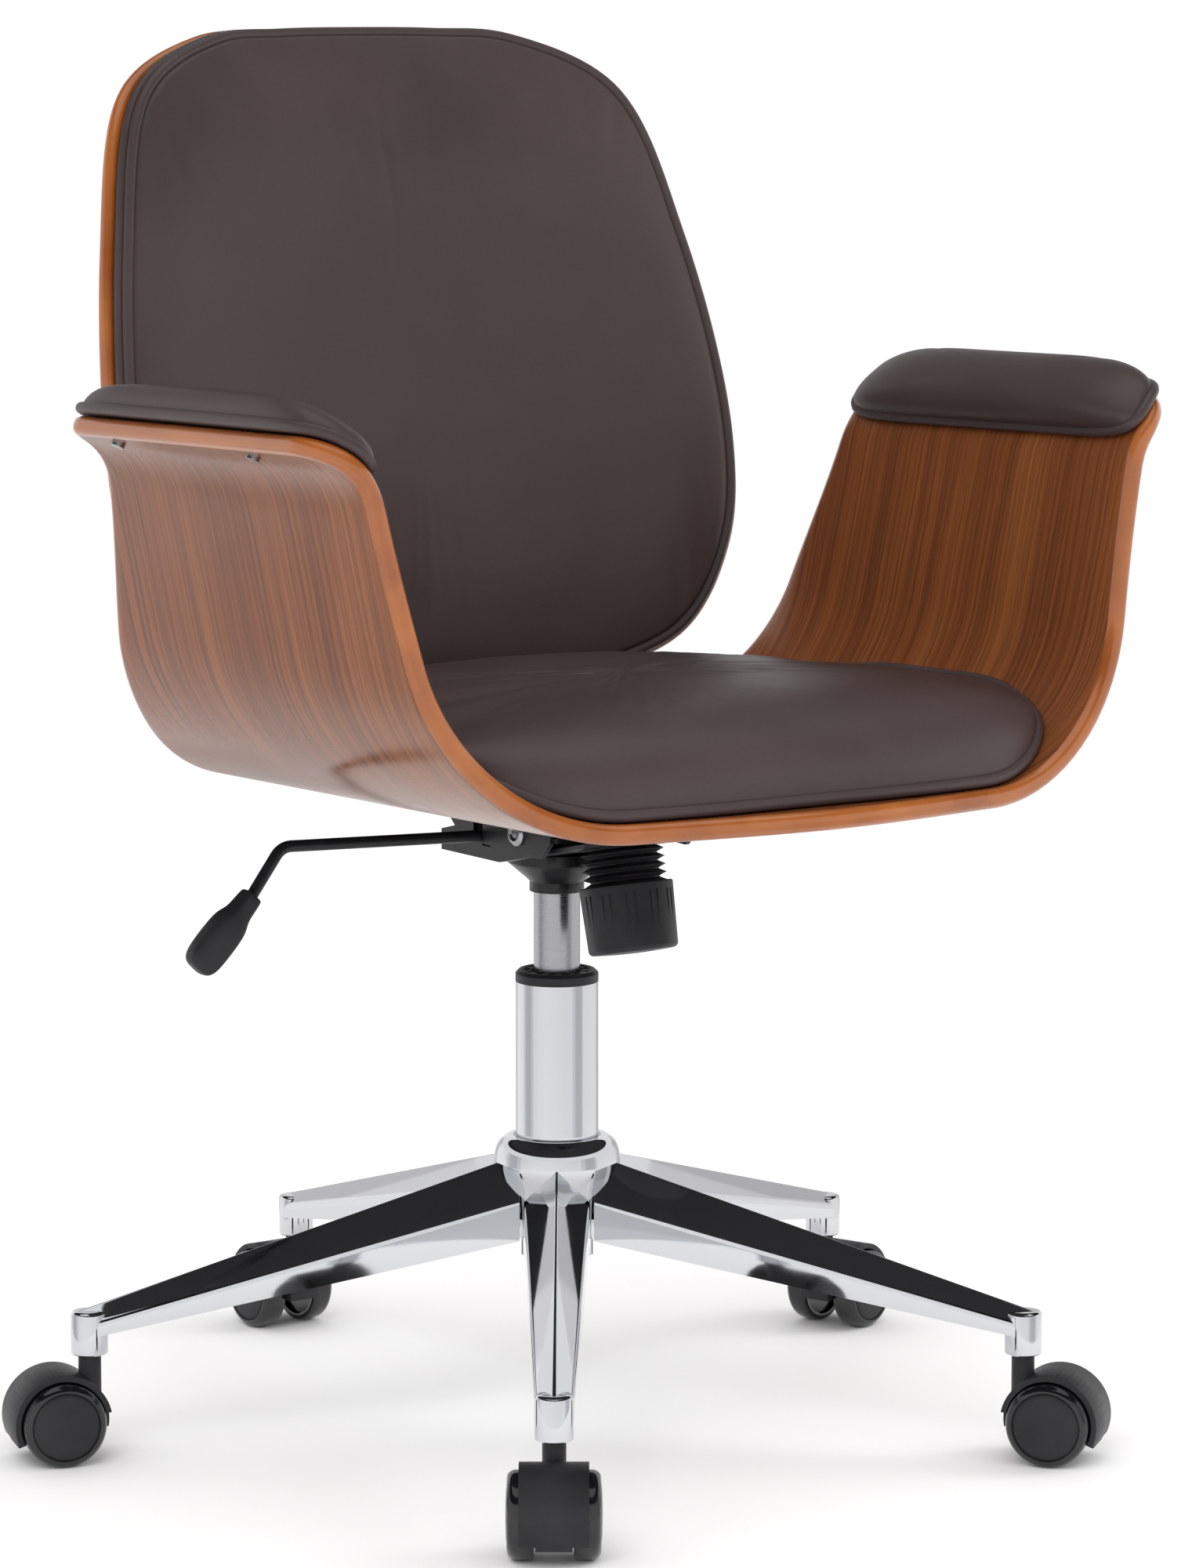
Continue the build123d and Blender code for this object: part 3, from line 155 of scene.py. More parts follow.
def makeLeather():
    # coated brown leather: a broad soft sheen over pebbles and small pores, the brown drifting in patches.
    # The pebbles of a real hide are about 1 mm wide and are drawn a little coarser, so that they show
    look = dict(browns=("3F3333", "453838", "4B3E3E"), warp=8.33, cells=1.39, pores=1.11, patches=111.0,
                depth=0.0003, smooth=0.42, dull=0.52, specular=0.36)
    material, tree, shader = newMaterial("BrownLeather")
    coords = addNode(tree, "ShaderNodeTexCoord").outputs["Object"]
    bent = addNode(tree, "ShaderNodeTexNoise",
                   {"Vector": coords, "Scale": repeats(look["warp"]), "Detail": 2.0})
    warped = addNode(tree, "ShaderNodeMix", {"Factor": 0.004, 4: coords, 5: bent.outputs["Color"]},
                     data_type="VECTOR")
    cells = addNode(tree, "ShaderNodeTexVoronoi",
                    {"Vector": warped.outputs[1], "Scale": repeats(look["cells"])}, feature="SMOOTH_F1")
    pores = addNode(tree, "ShaderNodeTexNoise",
                    {"Vector": coords, "Scale": repeats(look["pores"]), "Detail": 3.0})
    patches = addNode(tree, "ShaderNodeTexNoise",
                      {"Vector": coords, "Scale": repeats(look["patches"]), "Detail": 4.0})
    colour = addNode(tree, "ShaderNodeValToRGB", {"Fac": patches.outputs["Fac"]},
                     [(place, srgb(brown)) for place, brown in zip((0.25, 0.5, 0.78), look["browns"])])
    shade = addNode(tree, "ShaderNodeValToRGB", {"Fac": cells.outputs["Distance"]},
                    [(0.0, grey(1.0)), (0.75, grey(0.86))])
    mixed = addNode(tree, "ShaderNodeMix",
                    {"Factor": 0.55, 6: colour.outputs["Color"], 7: shade.outputs["Color"]},
                    data_type="RGBA", blend_type="MULTIPLY")
    rough = addNode(tree, "ShaderNodeValToRGB", {"Fac": patches.outputs["Fac"]},
                    [(0.3, grey(look["smooth"])), (0.7, grey(look["dull"]))])
    pebbled = addNode(tree, "ShaderNodeBump", {"Height": cells.outputs["Distance"], "Strength": 0.18,
                                               "Distance": look["depth"]}, invert=True)
    pored = addNode(tree, "ShaderNodeBump", {"Height": pores.outputs["Fac"], "Strength": 0.10,
                                             "Distance": look["depth"], "Normal": pebbled.outputs["Normal"]})
    setInputs(tree, shader, {"Base Color": mixed.outputs[2], "Roughness": rough.outputs["Color"],
                             "Normal": pored.outputs["Normal"], "Specular IOR Level": look["specular"]})
    return material


def makeVeneer():
    # walnut veneer under satin lacquer: broad bands, dark streaks, fine lines and short pores on the grain.
    # Real lines are about 0.3 mm and pores 0.15 mm across, too fine to show, so both are drawn coarser.
    # The map's u runs along the grain and its v across it, in metres
    look = dict(browns=("774121", "864B27", "92562B"), wander=143.0, smooth=0.20, dull=0.28, depth=0.0002,
                bands=(909.0, 33.3), streaks=(417.0, 3.03), lines=(111.0, 0.87), pores=(22.2, 0.526))
    material, tree, shader = newMaterial("WalnutVeneer")
    uv = addNode(tree, "ShaderNodeUVMap", uv_map="grain").outputs["UV"]
    wander = addNode(tree, "ShaderNodeTexNoise",
                     {"Vector": uv, "Scale": repeats(look["wander"]), "Detail": 2.0})
    drift = addNode(tree, "ShaderNodeMix", {"Factor": 0.008, 4: uv, 5: wander.outputs["Color"]},
                    data_type="VECTOR")

    def grain(layer, detail):
        along, across = look[layer]
        mapped = addNode(tree, "ShaderNodeMapping",
                         {"Vector": drift.outputs[1], "Scale": (repeats(along), repeats(across), 1.0)})
        noise = addNode(tree, "ShaderNodeTexNoise", {"Vector": mapped.outputs["Vector"], "Scale": 1.0,
                                                     "Detail": detail, "Roughness": 0.6})
        return noise.outputs["Fac"]

    streaks, pores = grain("streaks", 5.0), grain("pores", 1.0)
    colour = addNode(tree, "ShaderNodeValToRGB", {"Fac": grain("bands", 3.0)},
                     [(place, srgb(brown)) for place, brown in zip((0.30, 0.5, 0.70), look["browns"])]
                     ).outputs["Color"]
    for layer, share, stops in ((streaks, 0.8, [(0.36, grey(0.50)), (0.56, grey(1.0))]),
                                (grain("lines", 3.0), 0.7, [(0.36, grey(0.58)), (0.58, grey(1.05))]),
                                (pores, 0.6, [(0.24, grey(0.35)), (0.34, grey(1.0))])):
        shade = addNode(tree, "ShaderNodeValToRGB", {"Fac": layer}, stops)
        mixed = addNode(tree, "ShaderNodeMix", {"Factor": share, 6: colour, 7: shade.outputs["Color"]},
                        data_type="RGBA", blend_type="MULTIPLY")
        colour = mixed.outputs[2]
    rough = addNode(tree, "ShaderNodeValToRGB", {"Fac": streaks},
                    [(0.3, grey(look["smooth"])), (0.7, grey(look["dull"]))])
    bump = addNode(tree, "ShaderNodeBump", {"Height": pores, "Strength": 0.05, "Distance": look["depth"]})
    setInputs(tree, shader, {"Base Color": colour, "Roughness": rough.outputs["Color"],
                             "Normal": bump.outputs["Normal"], "Coat Weight": 0.08, "Coat Roughness": 0.12,
                             "Specular IOR Level": 0.42})
    return material


def makeStainedEdge():
    # sanded ply edge, stained and lacquered: a warm orange with soft darker stretches under a clear gloss
    look = dict(oranges=("8C4918", "99531C", "A85F24"), blotch=35.7, stretch=111.0, smooth=0.24, dull=0.34)
    material, tree, shader = newMaterial("StainedPlyEdge")
    coords = addNode(tree, "ShaderNodeTexCoord").outputs["Object"]
    blotch, stretch = repeats(look["blotch"]), repeats(look["stretch"])
    mapped = addNode(tree, "ShaderNodeMapping", {"Vector": coords, "Scale": (blotch, stretch, blotch)})
    tone = addNode(tree, "ShaderNodeTexNoise",
                   {"Vector": mapped.outputs["Vector"], "Scale": 1.0, "Detail": 4.0})
    colour = addNode(tree, "ShaderNodeValToRGB", {"Fac": tone.outputs["Fac"]},
                     [(place, srgb(orange)) for place, orange in zip((0.3, 0.5, 0.72), look["oranges"])])
    rough = addNode(tree, "ShaderNodeValToRGB", {"Fac": tone.outputs["Fac"]},
                    [(0.3, grey(look["smooth"])), (0.7, grey(look["dull"]))])
    setInputs(tree, shader, {"Base Color": colour.outputs["Color"], "Roughness": rough.outputs["Color"],
                             "Coat Weight": 0.60, "Coat Roughness": 0.07})
    return material


# chrome plate on pressed steel: a cool mirror with a faint polishing haze
chrome = makeMetal("ChromePlate", dict(colour="CFD1D4", spacing=(33.3, 33.3, 33.3), detail=3.0,
                                       smooth=0.035, dull=0.075))
# turned and ground steel: bright, its highlight broken by rings of turning marks.
# Real marks are under 0.1 mm apart and wouldn't show, so they are drawn coarser
brightSteel = makeMetal("BrushedSteel", dict(colour="A6A7AB", spacing=(16.7, 16.7, 0.417), detail=2.0,
                                             smooth=0.16, dull=0.30))
# The three blacks have a real grain of 0.1 to 0.3 mm, too fine to show, so it is drawn near 1 mm.
# moulded nylon with an eroded skin: matt, charcoal where light grazes it
blackPlastic = makeBlack("BlackPlastic", dict(dark="1D1D20", light="28282B", smooth=0.40, dull=0.52,
                                              grain=0.667, depth=0.0004, coat=0.0, specular=0.32))
# nylon from a polished mould: nearly black, with sharp small highlights
glossPlastic = makeBlack("GlossWheelPlastic", dict(dark="0D0D0F", light="141417", smooth=0.10, dull=0.18,
                                                   grain=1.11, depth=0.0001, coat=0.3, specular=0.5))
# baked paint on pressed steel: black with a wide satin highlight
blackPaint = makeBlack("SatinBlackPaint", dict(dark="131315", light="1B1B1E", smooth=0.28, dull=0.4,
                                               grain=0.909, depth=0.0002, coat=0.0, specular=0.35))
leather = makeLeather()
veneer = makeVeneer()
stainedEdge = makeStainedEdge()
print("materials made")


# Seat frame, as in the CAD: x to the sitter's left, y to the back, z square to the seat.
# The points are (place on the slanted plane, reach) of the shell's front and rear edges
seat = dict(slope=math.radians(1.0), bottom=0.391, ply=0.0115, flatHalf=0.1246, bend=0.1267,
            lean=math.radians(12.4), lipStart=0.187, lipRadius=0.042, lipAngle=math.radians(74.0),
            lipLength=0.0053, frontCorner=0.034, rearCorner=0.014, frontReach=0.283, armFront=0.226,
            armRear=0.058, rearReach=0.150, frontPoints=((0.100, 0.264), (0.200, 0.2415)),
            rearPoints=((0.110, 0.143), (0.200, 0.107), (0.250, 0.089)))


def seatPoint(x, y, z):
    s, c = math.sin(seat["slope"]), math.cos(seat["slope"])
    return Vector((x, y * c + z * s, seat["bottom"] - y * s + z * c))


armFoot = (seat["flatHalf"] + seat["bend"] * math.cos(seat["lean"]),
           seat["bend"] * (1 - math.sin(seat["lean"])))
armHead = (armFoot[0] + (seat["lipStart"] - armFoot[1]) * math.tan(seat["lean"]), seat["lipStart"])
lipCentre = (armHead[0] + seat["lipRadius"] * math.cos(seat["lean"]),
             armHead[1] - seat["lipRadius"] * math.sin(seat["lean"]))
lipLength = seat["lipRadius"] * (seat["lipAngle"] - seat["lean"])
bendEnd = seat["flatHalf"] + seat["bend"] * (math.pi / 2 - seat["lean"])
armEnd = bendEnd + (seat["lipStart"] - armFoot[1]) / math.cos(seat["lean"])
lipEnd = armEnd + lipLength


def profile(s, depth):
    # place and inward normal of the shell's profile at a length from the middle, this deep in the ply
    if s <= seat["flatHalf"]:
        x, z, nx, nz = s, 0.0, 0.0, 1.0
    elif s <= bendEnd:
        a = (s - seat["flatHalf"]) / seat["bend"]
        nx, nz = -math.sin(a), math.cos(a)
        x = seat["flatHalf"] + seat["bend"] * math.sin(a)
        z = seat["bend"] - seat["bend"] * math.cos(a)
    elif s <= armEnd:
        t = s - bendEnd
        nx, nz = -math.cos(seat["lean"]), math.sin(seat["lean"])
        x = armFoot[0] + t * math.sin(seat["lean"])
        z = armFoot[1] + t * math.cos(seat["lean"])
    else:
        a = seat["lean"] + min(s - armEnd, lipLength) / seat["lipRadius"]
        nx, nz = -math.cos(a), math.sin(a)
        over = max(s - lipEnd, 0.0)
        x = lipCentre[0] - seat["lipRadius"] * math.cos(a) + over * math.sin(a)
        z = lipCentre[1] + seat["lipRadius"] * math.sin(a) + over * math.cos(a)
    return x + nx * depth, z + nz * depth, nx, nz


def slantOf(s, depth):
    # place on the slanted plane, which sees the seat and the arm at once
    x, z = profile(s, depth)[:2]
    return (x + z) / math.sqrt(2)


lipEdge = slantOf(lipEnd + seat["lipLength"], 0.0)


def clampedSpline(points):
    # smooth function through the points, level at both ends
    xs = [p[0] for p in points]
    ys = [p[1] for p in points]
    n = len(xs)
    slopes = [0.0] * n
    for sweep in range(80):  # each sweep brings the slopes nearer to an even bend
        for i in range(1, n - 1):
            h0, h1 = xs[i] - xs[i - 1], xs[i + 1] - xs[i]
            pull = 3 * ((ys[i] - ys[i - 1]) / h0 ** 2 + (ys[i + 1] - ys[i]) / h1 ** 2)
            slopes[i] = (pull - slopes[i - 1] / h0 - slopes[i + 1] / h1) / (2 / h0 + 2 / h1)

    def value(x):
        x = min(max(x, xs[0]), xs[-1])
        i = max(k for k in range(n - 1) if xs[k] <= x or k == 0)
        h = xs[i + 1] - xs[i]
        t = (x - xs[i]) / h
        return (ys[i] * (1 + 2 * t) * (1 - t) ** 2 + ys[i + 1] * t * t * (3 - 2 * t)
                + h * slopes[i] * t * (1 - t) ** 2 + h * slopes[i + 1] * t * t * (t - 1))
    return value


def edgeReach(middle, points, arm, edge, corner, inset):
    # reach of one edge of the shell at a place on the slanted plane, ending in a round corner
    passed = ((0, middle), *points, (edge - corner, arm))
    curve = clampedSpline([(place, far - inset) for place, far in passed])

    def reach(w):
        if w <= edge - corner:
            return curve(w)
        over = min(w - (edge - corner), corner)
        return arm - inset - corner + math.sqrt(max(corner ** 2 - over ** 2, 0.0))
    return reach


def outlineOf(edge, inset, frontCorner, rearCorner):
    # front and rear reach of the shell at a place on the slanted plane
    front = edgeReach(seat["frontReach"], seat["frontPoints"], seat["armFront"], edge, frontCorner, inset)
    rear = edgeReach(seat["rearReach"], seat["rearPoints"], seat["armRear"], edge, rearCorner, inset)
    return lambda w: (front(w), rear(w))


# Meshes

def linkMesh(name, bm, *materials):
    mesh = bpy.data.meshes.new(name)
    bm.to_mesh(mesh)
    bm.free()
    obj = bpy.data.objects.new(name, mesh)
    bpy.context.scene.collection.objects.link(obj)
    for material in materials:
        mesh.materials.append(material)
    for polygon in mesh.polygons:
        polygon.use_smooth = True
    return obj


def applied(obj):
    # bakes the modifiers into the mesh and removes them
    bpy.context.view_layer.update()
    graph = bpy.context.evaluated_depsgraph_get()
    mesh = bpy.data.meshes.new_from_object(obj.evaluated_get(graph), preserve_all_data_layers=True,
                                           depsgraph=graph)
    old = obj.data
    obj.modifiers.clear()
    obj.data = mesh
    bpy.data.meshes.remove(old)


def subdivided(obj, toLimit):
    # one smoothing subdivision. The limit surface is slow where hundreds of edges meet in a hub
    soft = obj.modifiers.new("soft", "SUBSURF")
    soft.levels = 1
    soft.render_levels = 1
    soft.use_limit_surface = toLimit
    applied(obj)


def smoothByAngle(obj, degrees):
    # smooth faces, with the edges that turn more than this kept sharp
    bm = bmesh.new()
    bm.from_mesh(obj.data)
    for edge in bm.edges:
        edge.smooth = len(edge.link_faces) == 2 and edge.calc_face_angle(0.0) < math.radians(degrees)
    for face in bm.faces:
        face.smooth = True
    bm.to_mesh(obj.data)
    bm.free()


def circle(count):
    # cosine and sine of even steps round a circle
    return [(math.cos(2 * math.pi * k / count), math.sin(2 * math.pi * k / count)) for k in range(count)]


def bridge(bm, a, b):
    # a band of faces between two closed loops of vertices
    n = len(a)
    return [bm.faces.new([a[k], a[(k + 1) % n], b[(k + 1) % n], b[k]]) for k in range(n)]


def evenly(points, count):
    # the closed line through the points, cut into even steps
    lengths = [0.0]
    n = len(points)
    for i in range(n):
        lengths.append(lengths[-1] + (points[(i + 1) % n] - points[i]).length)
    out, j = [], 0
    for k in range(count):
        target = lengths[-1] * k / count
        while lengths[j + 1] < target:
            j += 1
        f = (target - lengths[j]) / max(lengths[j + 1] - lengths[j], 1e-9)
        out.append(points[j].lerp(points[(j + 1) % n], f))
    return out


def closedCurve(points, count):
    # even points on a smooth closed line through the given points
    n = len(points)
    steps = 40
    dense = []
    for i in range(n):
        p0, p1, p2, p3 = (Vector(points[(i + k) % n]) for k in (-1, 0, 1, 2))
        d0 = max((p1 - p0).length, 1e-6) ** 0.5
        d1 = max((p2 - p1).length, 1e-6) ** 0.5
        d2 = max((p3 - p2).length, 1e-6) ** 0.5
        m1 = (p1 - p0) / d0 - (p2 - p0) / (d0 + d1) + (p2 - p1) / d1
        m2 = (p2 - p1) / d1 - (p3 - p1) / (d1 + d2) + (p3 - p2) / d2
        for k in range(steps):
            t = k / steps
            a = p1 * (2 * t ** 3 - 3 * t ** 2 + 1) + m1 * d1 * (t ** 3 - 2 * t ** 2 + t)
            b = p2 * (-2 * t ** 3 + 3 * t ** 2) + m2 * d1 * (t ** 3 - t ** 2)
            dense.append(a + b)
    return evenly(dense, count)


def mirrored(half):
    # closed outline from the points of its right half
    return half + [(-x, y) for x, y in reversed(half[1:-1])]


# Bent ply boards

def board(name, outline, centre, place, thickness, rings):
    # bent board inside a flat outline, its edge rounded and stained. place(p, height) bends it
    edgeSteps, roundShare = 8, 0.86  # faces round the edge, share of the half thickness that is round
    n = len(outline)
    area = sum(outline[k - 1].cross(outline[k]) for k in range(n))
    turn = 1 if area > 0 else -1
    inward = []
    for k in range(n):
        along = (outline[(k + 1) % n] - outline[k - 1]).normalized()
        inward.append(Vector((-along.y, along.x)) * turn)
    half = thickness / 2
    r = half * roundShare
    edgeRings = []
    for step in range(edgeSteps + 1):
        a = math.pi / 2 - math.pi * step / edgeSteps
        height = math.copysign(half - r, a) + r * math.sin(a) if step != edgeSteps // 2 else 0.0
        edgeRings.append((r * (1 - math.cos(a)), height))
    top = [[centre.lerp(p + m * r, k / rings) for p, m in zip(outline, inward)] for k in range(1, rings)]
    bm = bmesh.new()
    uv = bm.loops.layers.uv.new("grain")
    flat = {}
    loops, stained = [], []

    def addLoop(points, height, isEdge):
        loop = []
        for q in points:
            vert = bm.verts.new(place(q, height))
            flat[vert] = q
            loop.append(vert)
        loops.append(loop)
        stained.append(isEdge)

    for points in top:
        addLoop(points, half, False)
    for inset, height in edgeRings:
        addLoop([p + m * inset for p, m in zip(outline, inward)], height, True)
    for points in reversed(top):
        addLoop(points, -half, False)
    for i in range(len(loops) - 1):
        for face in bridge(bm, loops[i], loops[i + 1]):
            face.material_index = 1 if stained[i] and stained[i + 1] else 0
    for loop, height in ((loops[0], half), (loops[-1], -half)):
        hub = bm.verts.new(place(centre, height))
        flat[hub] = centre
        for k in range(n):
            bm.faces.new([hub, loop[k], loop[(k + 1) % n]])
    for face in bm.faces:
        for corner in face.loops:
            corner[uv].uv = flat[corner.vert]
    bmesh.ops.recalc_face_normals(bm, faces=bm.faces)
    obj = linkMesh(name, bm, veneer, stainedEdge)
    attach(obj, "seat")
    return obj


def makeSeatShell():
    spec = dict(around=560, rings=44, centreY=-0.07, samples=500, halvings=60, searchPast=0.05)
    half = seat["ply"] / 2
    reach = outlineOf(lipEdge, 0.0, seat["frontCorner"], seat["rearCorner"])
    low, high = armEnd, lipEnd + spec["searchPast"]
    for step in range(spec["halvings"]):  # the length at which the middle of the ply meets the lip's edge
        mid = (low + high) / 2
        if slantOf(mid, half) < lipEdge:
            low = mid
        else:
            high = mid
    samples = spec["samples"]
    stops = [low * math.sin(math.pi / 2 * i / samples) for i in range(-samples, samples + 1)]
    reaches = [reach(slantOf(abs(s), half)) for s in stops]
    front = [Vector((s, -far[0])) for s, far in zip(stops, reaches)]
    rear = [Vector((s, far[1])) for s, far in zip(stops, reaches)]
    outline = evenly(front + rear[::-1], spec["around"])

    def place(p, height):
        x, z = profile(abs(p.x), half + height)[:2]
        return seatPoint(math.copysign(x, p.x), p.y, z)

    obj = board("seatShellVeneer", outline, Vector((0.0, spec["centreY"])), place, seat["ply"], spec["rings"])
    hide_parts("seat_shell")


makeSeatShell()
print("seat shell made")


# Back frame: x across, up along the back, behind the wrap surface. backHalf is the outline's (x, up)
back = dict(recline=math.radians(12.0), footY=0.140, footZ=0.422, wrap=0.528, height=0.429, half=0.223,
            padRear=0.008, gap=0.001, ply=0.0095)
backHalf = [(0.0, 0.429), (0.058, 0.4276), (0.111, 0.422), (0.176, 0.385), (0.208, 0.284), (0.223, 0.150),
            (0.213, 0.081), (0.181, 0.030), (0.120, 0.008), (0.0, 0.0)]


def backPoint(x, up, behind):
    # x is measured on the wrap surface; behind is away from the sitter
    angle = math.asin(x / back["wrap"])
    reach = back["wrap"] + behind
    across = reach * math.sin(angle)
    y = -back["wrap"] + reach * math.cos(angle)
    s, c = math.sin(back["recline"]), math.cos(back["recline"])
    return Vector((across, back["footY"] + y * c + up * s, back["footZ"] - y * s + up * c))


def backOutline(inset, count):
    middle = back["height"] / 2
    scaled = [(x * (1 - inset / back["half"]), middle + (up - middle) * (1 - inset / middle))
              for x, up in mirrored(backHalf)]
    return closedCurve(scaled, count)


def makeBackShell():
    spec = dict(around=320, rings=26, inset=0.003)
    behind = back["padRear"] + back["gap"] + back["ply"] / 2
    outline = [Vector((p.y, p.x)) for p in backOutline(spec["inset"], spec["around"])]
    obj = board("backShellVeneer", outline, Vector((back["height"] / 2, 0.0)),
                lambda p, height: backPoint(p.y, p.x, behind - height), back["ply"], spec["rings"])
    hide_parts("back_shell")


makeBackShell()
print("back shell made")


# Leather pads with piping

def tube(name, points, radius):
    # closed round cord of leather along the points
    sides = circle(10)
    bm = bmesh.new()
    n = len(points)
    square = Vector((0, 0, 0))
    for i in range(n):
        square += (points[i - 1] - points[0]).cross(points[i] - points[0])
    square.normalize()
    rings = []
    for i, p in enumerate(points):
        ahead = (points[(i + 1) % n] - points[i - 1]).normalized()
        right = ahead.cross(square).normalized()
        upward = right.cross(ahead)
        rings.append([bm.verts.new(p + (right * c + upward * s) * radius) for c, s in sides])
    for i in range(n):
        bridge(bm, rings[i], rings[(i + 1) % n])
    bmesh.ops.recalc_face_normals(bm, faces=bm.faces)
    return linkMesh(name, bm, leather)


def domed(r, hardness, softness):
    # height of a dome at a share of the way to its rim
    return max(1 - min(r, 1.0) ** hardness, 0.0) ** (1 / softness)


def ringPlaces(count, start):
    # shares of the way to the rim, closer together towards it
    return [start + (1 - start) * math.sin(math.pi / 2 * i / count) for i in range(count + 1)]


def pillow(name, loops, material):
    # closed body from loops of points, the first and last closed to a hub
    bm = bmesh.new()
    rings = [[bm.verts.new(p) for p in loop] for loop in loops]
    n = len(loops[0])
    for a, b in zip(rings, rings[1:]):
        bridge(bm, a, b)
    for ring in (rings[0], rings[-1]):
        hub = bm.verts.new(sum((v.co for v in ring), Vector()) / n)
        for k in range(n):
            bm.faces.new([ring[k], ring[(k + 1) % n], hub])
    bmesh.ops.recalc_face_normals(bm, faces=bm.faces)
    return linkMesh(name, bm, material)


pump = dict(pressure=4.0, frames=20, quality=3)


def puffed(obj, around, air):
    # air pressure fills the leather out, and no point moves further than the cap.
    # The rings from freeRings on, at the seam and on the underside, are held
    scene = bpy.context.scene
    topHub = len(obj.data.vertices) - 2
    group = obj.vertex_groups.new(name="held")
    group.add(list(range(air["freeRings"] * around, topHub)) + [topHub + 1], 1.0, "REPLACE")
    before = [vertex.co.copy() for vertex in obj.data.vertices]
    cloth = obj.modifiers.new("air", "CLOTH")
    cloth.settings.use_pressure = True
    cloth.settings.uniform_pressure_force = pump["pressure"]
    cloth.settings.vertex_group_mass = "held"
    cloth.settings.effector_weights.gravity = 0.0
    cloth.settings.quality = pump["quality"]
    cloth.settings.bending_stiffness = air["bending"]
    cloth.point_cache.frame_start = 1
    cloth.point_cache.frame_end = pump["frames"]
    for step in range(1, pump["frames"] + 1):
        scene.frame_set(step)
    applied(obj)
    scene.frame_set(1)
    for vertex, place in zip(obj.data.vertices, before):
        move = vertex.co - place
        if move.length > 0:
            vertex.co = place + move.normalized() * air["cap"] * math.tanh(move.length / air["cap"])
    obj.vertex_groups.clear()
    subdivided(obj, False)
    for polygon in obj.data.polygons:
        polygon.use_smooth = True


def padParts(body, *trims):
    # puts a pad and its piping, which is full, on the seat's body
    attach(body, "seat")
    for trim in trims:
        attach(trim, "seat")


# Seat pad. seatPadHalf is the outline's (x, y). It bends stiffly, as the photo shows it without folds
seatPad = dict(half=0.2135, top=0.0635, crown=0.0045, centreY=-0.075, gap=0.0008, seam=0.004, seamFall=6,
               hardness=9.0, softness=2.3, piping=0.0036, pipeGap=0.0006, tuck=0.985, around=220, topRings=30,
               underRings=12, hub=0.04, air=dict(freeRings=28, cap=0.006, bending=40.0))
seatPadHalf = [(0.0, -0.264), (0.085, -0.262), (0.150, -0.249), (0.193, -0.218), (0.211, -0.165),
               (0.2135, -0.09), (0.2115, -0.02), (0.200, 0.045), (0.165, 0.088), (0.095, 0.112), (0.0, 0.119)]


def shellTop(x):
    # height of the shell's upper face over its flat bottom
    over = abs(x) - seat["flatHalf"]
    if over <= 0:
        return seat["ply"]
    r = seat["bend"] - seat["ply"]
    return seat["bend"] - math.sqrt(r * r - over ** 2)


def makeSeatPad():
    spec = seatPad
    outline = closedCurve(mirrored(seatPadHalf), spec["around"])
    centre = Vector((0.0, spec["centreY"]))
    loops = []
    for r in ringPlaces(spec["topRings"], spec["hub"]):
        loop = []
        fall = r ** spec["seamFall"]
        for p in outline:
            q = centre.lerp(p, r)
            low = (shellTop(p.x) + spec["seam"]) * fall + (1 - fall) * (shellTop(q.x) + spec["gap"])
            ceiling = spec["top"] + spec["crown"] * (1 - (q.x / spec["half"]) ** 2)
            rise = (ceiling - low) * domed(r, spec["hardness"], spec["softness"])
            loop.append(seatPoint(q.x, q.y, low + rise))
        loops.append(loop)
    for r in reversed(ringPlaces(spec["underRings"], spec["hub"])):
        under = [centre.lerp(p, r * spec["tuck"]) for p in outline]
        loops.append([seatPoint(q.x, q.y, shellTop(q.x) + spec["gap"]) for q in under])
    body = pillow("seatCushion", loops, leather)
    puffed(body, spec["around"], spec["air"])
    pipe = tube("seatPiping", [seatPoint(p.x, p.y, shellTop(p.x) + spec["piping"] + spec["pipeGap"])
                               for p in outline], spec["piping"])
    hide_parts("seat_pad")
    padParts(body, pipe)


makeSeatPad()
print("seat pad made")


# Back pad. The two pipings are given as (inset, behind the wrap surface)
def makeBackPad():
    spec = dict(inset=0.010, edge=0.0125, crown=0.0075, gap=0.0005, hardness=14.0, softness=2.2,
                rearFall=0.003, rearEase=8, piping=0.0034, frontPipe=(0.0085, -0.0010),
                rearPipe=(0.0075, 0.0046), around=240, topRings=34, underRings=12, hub=0.03,
                air=dict(freeRings=31, cap=0.005, bending=0.5))
    outline = backOutline(spec["inset"], spec["around"])
    centre = Vector((0.0, back["height"] / 2))
    loops = []
    for r in ringPlaces(spec["topRings"], spec["hub"]):
        dome = spec["edge"] * domed(r, spec["hardness"], spec["softness"])
        front = -spec["gap"] - dome - spec["crown"] * (1 - r * r)
        loops.append([backPoint(q.x, q.y, front) for q in (centre.lerp(p, r) for p in outline)])
    for r in reversed(ringPlaces(spec["underRings"], spec["hub"])):
        rear = back["padRear"] - spec["gap"] - spec["rearFall"] * r ** spec["rearEase"]
        loops.append([backPoint(q.x, q.y, rear) for q in (centre.lerp(p, r) for p in outline)])
    body = pillow("backCushion", loops, leather)
    puffed(body, spec["around"], spec["air"])
    pipes = []
    for name, key in (("backFrontPiping", "frontPipe"), ("backRearPiping", "rearPipe")):
        inset, behind = spec[key]
        line = backOutline(inset, spec["around"])
        pipes.append(tube(name, [backPoint(p.x, p.y, behind) for p in line], spec["piping"]))
    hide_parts("back_pad")
    padParts(body, *pipes)


makeBackPad()
print("back pad made")


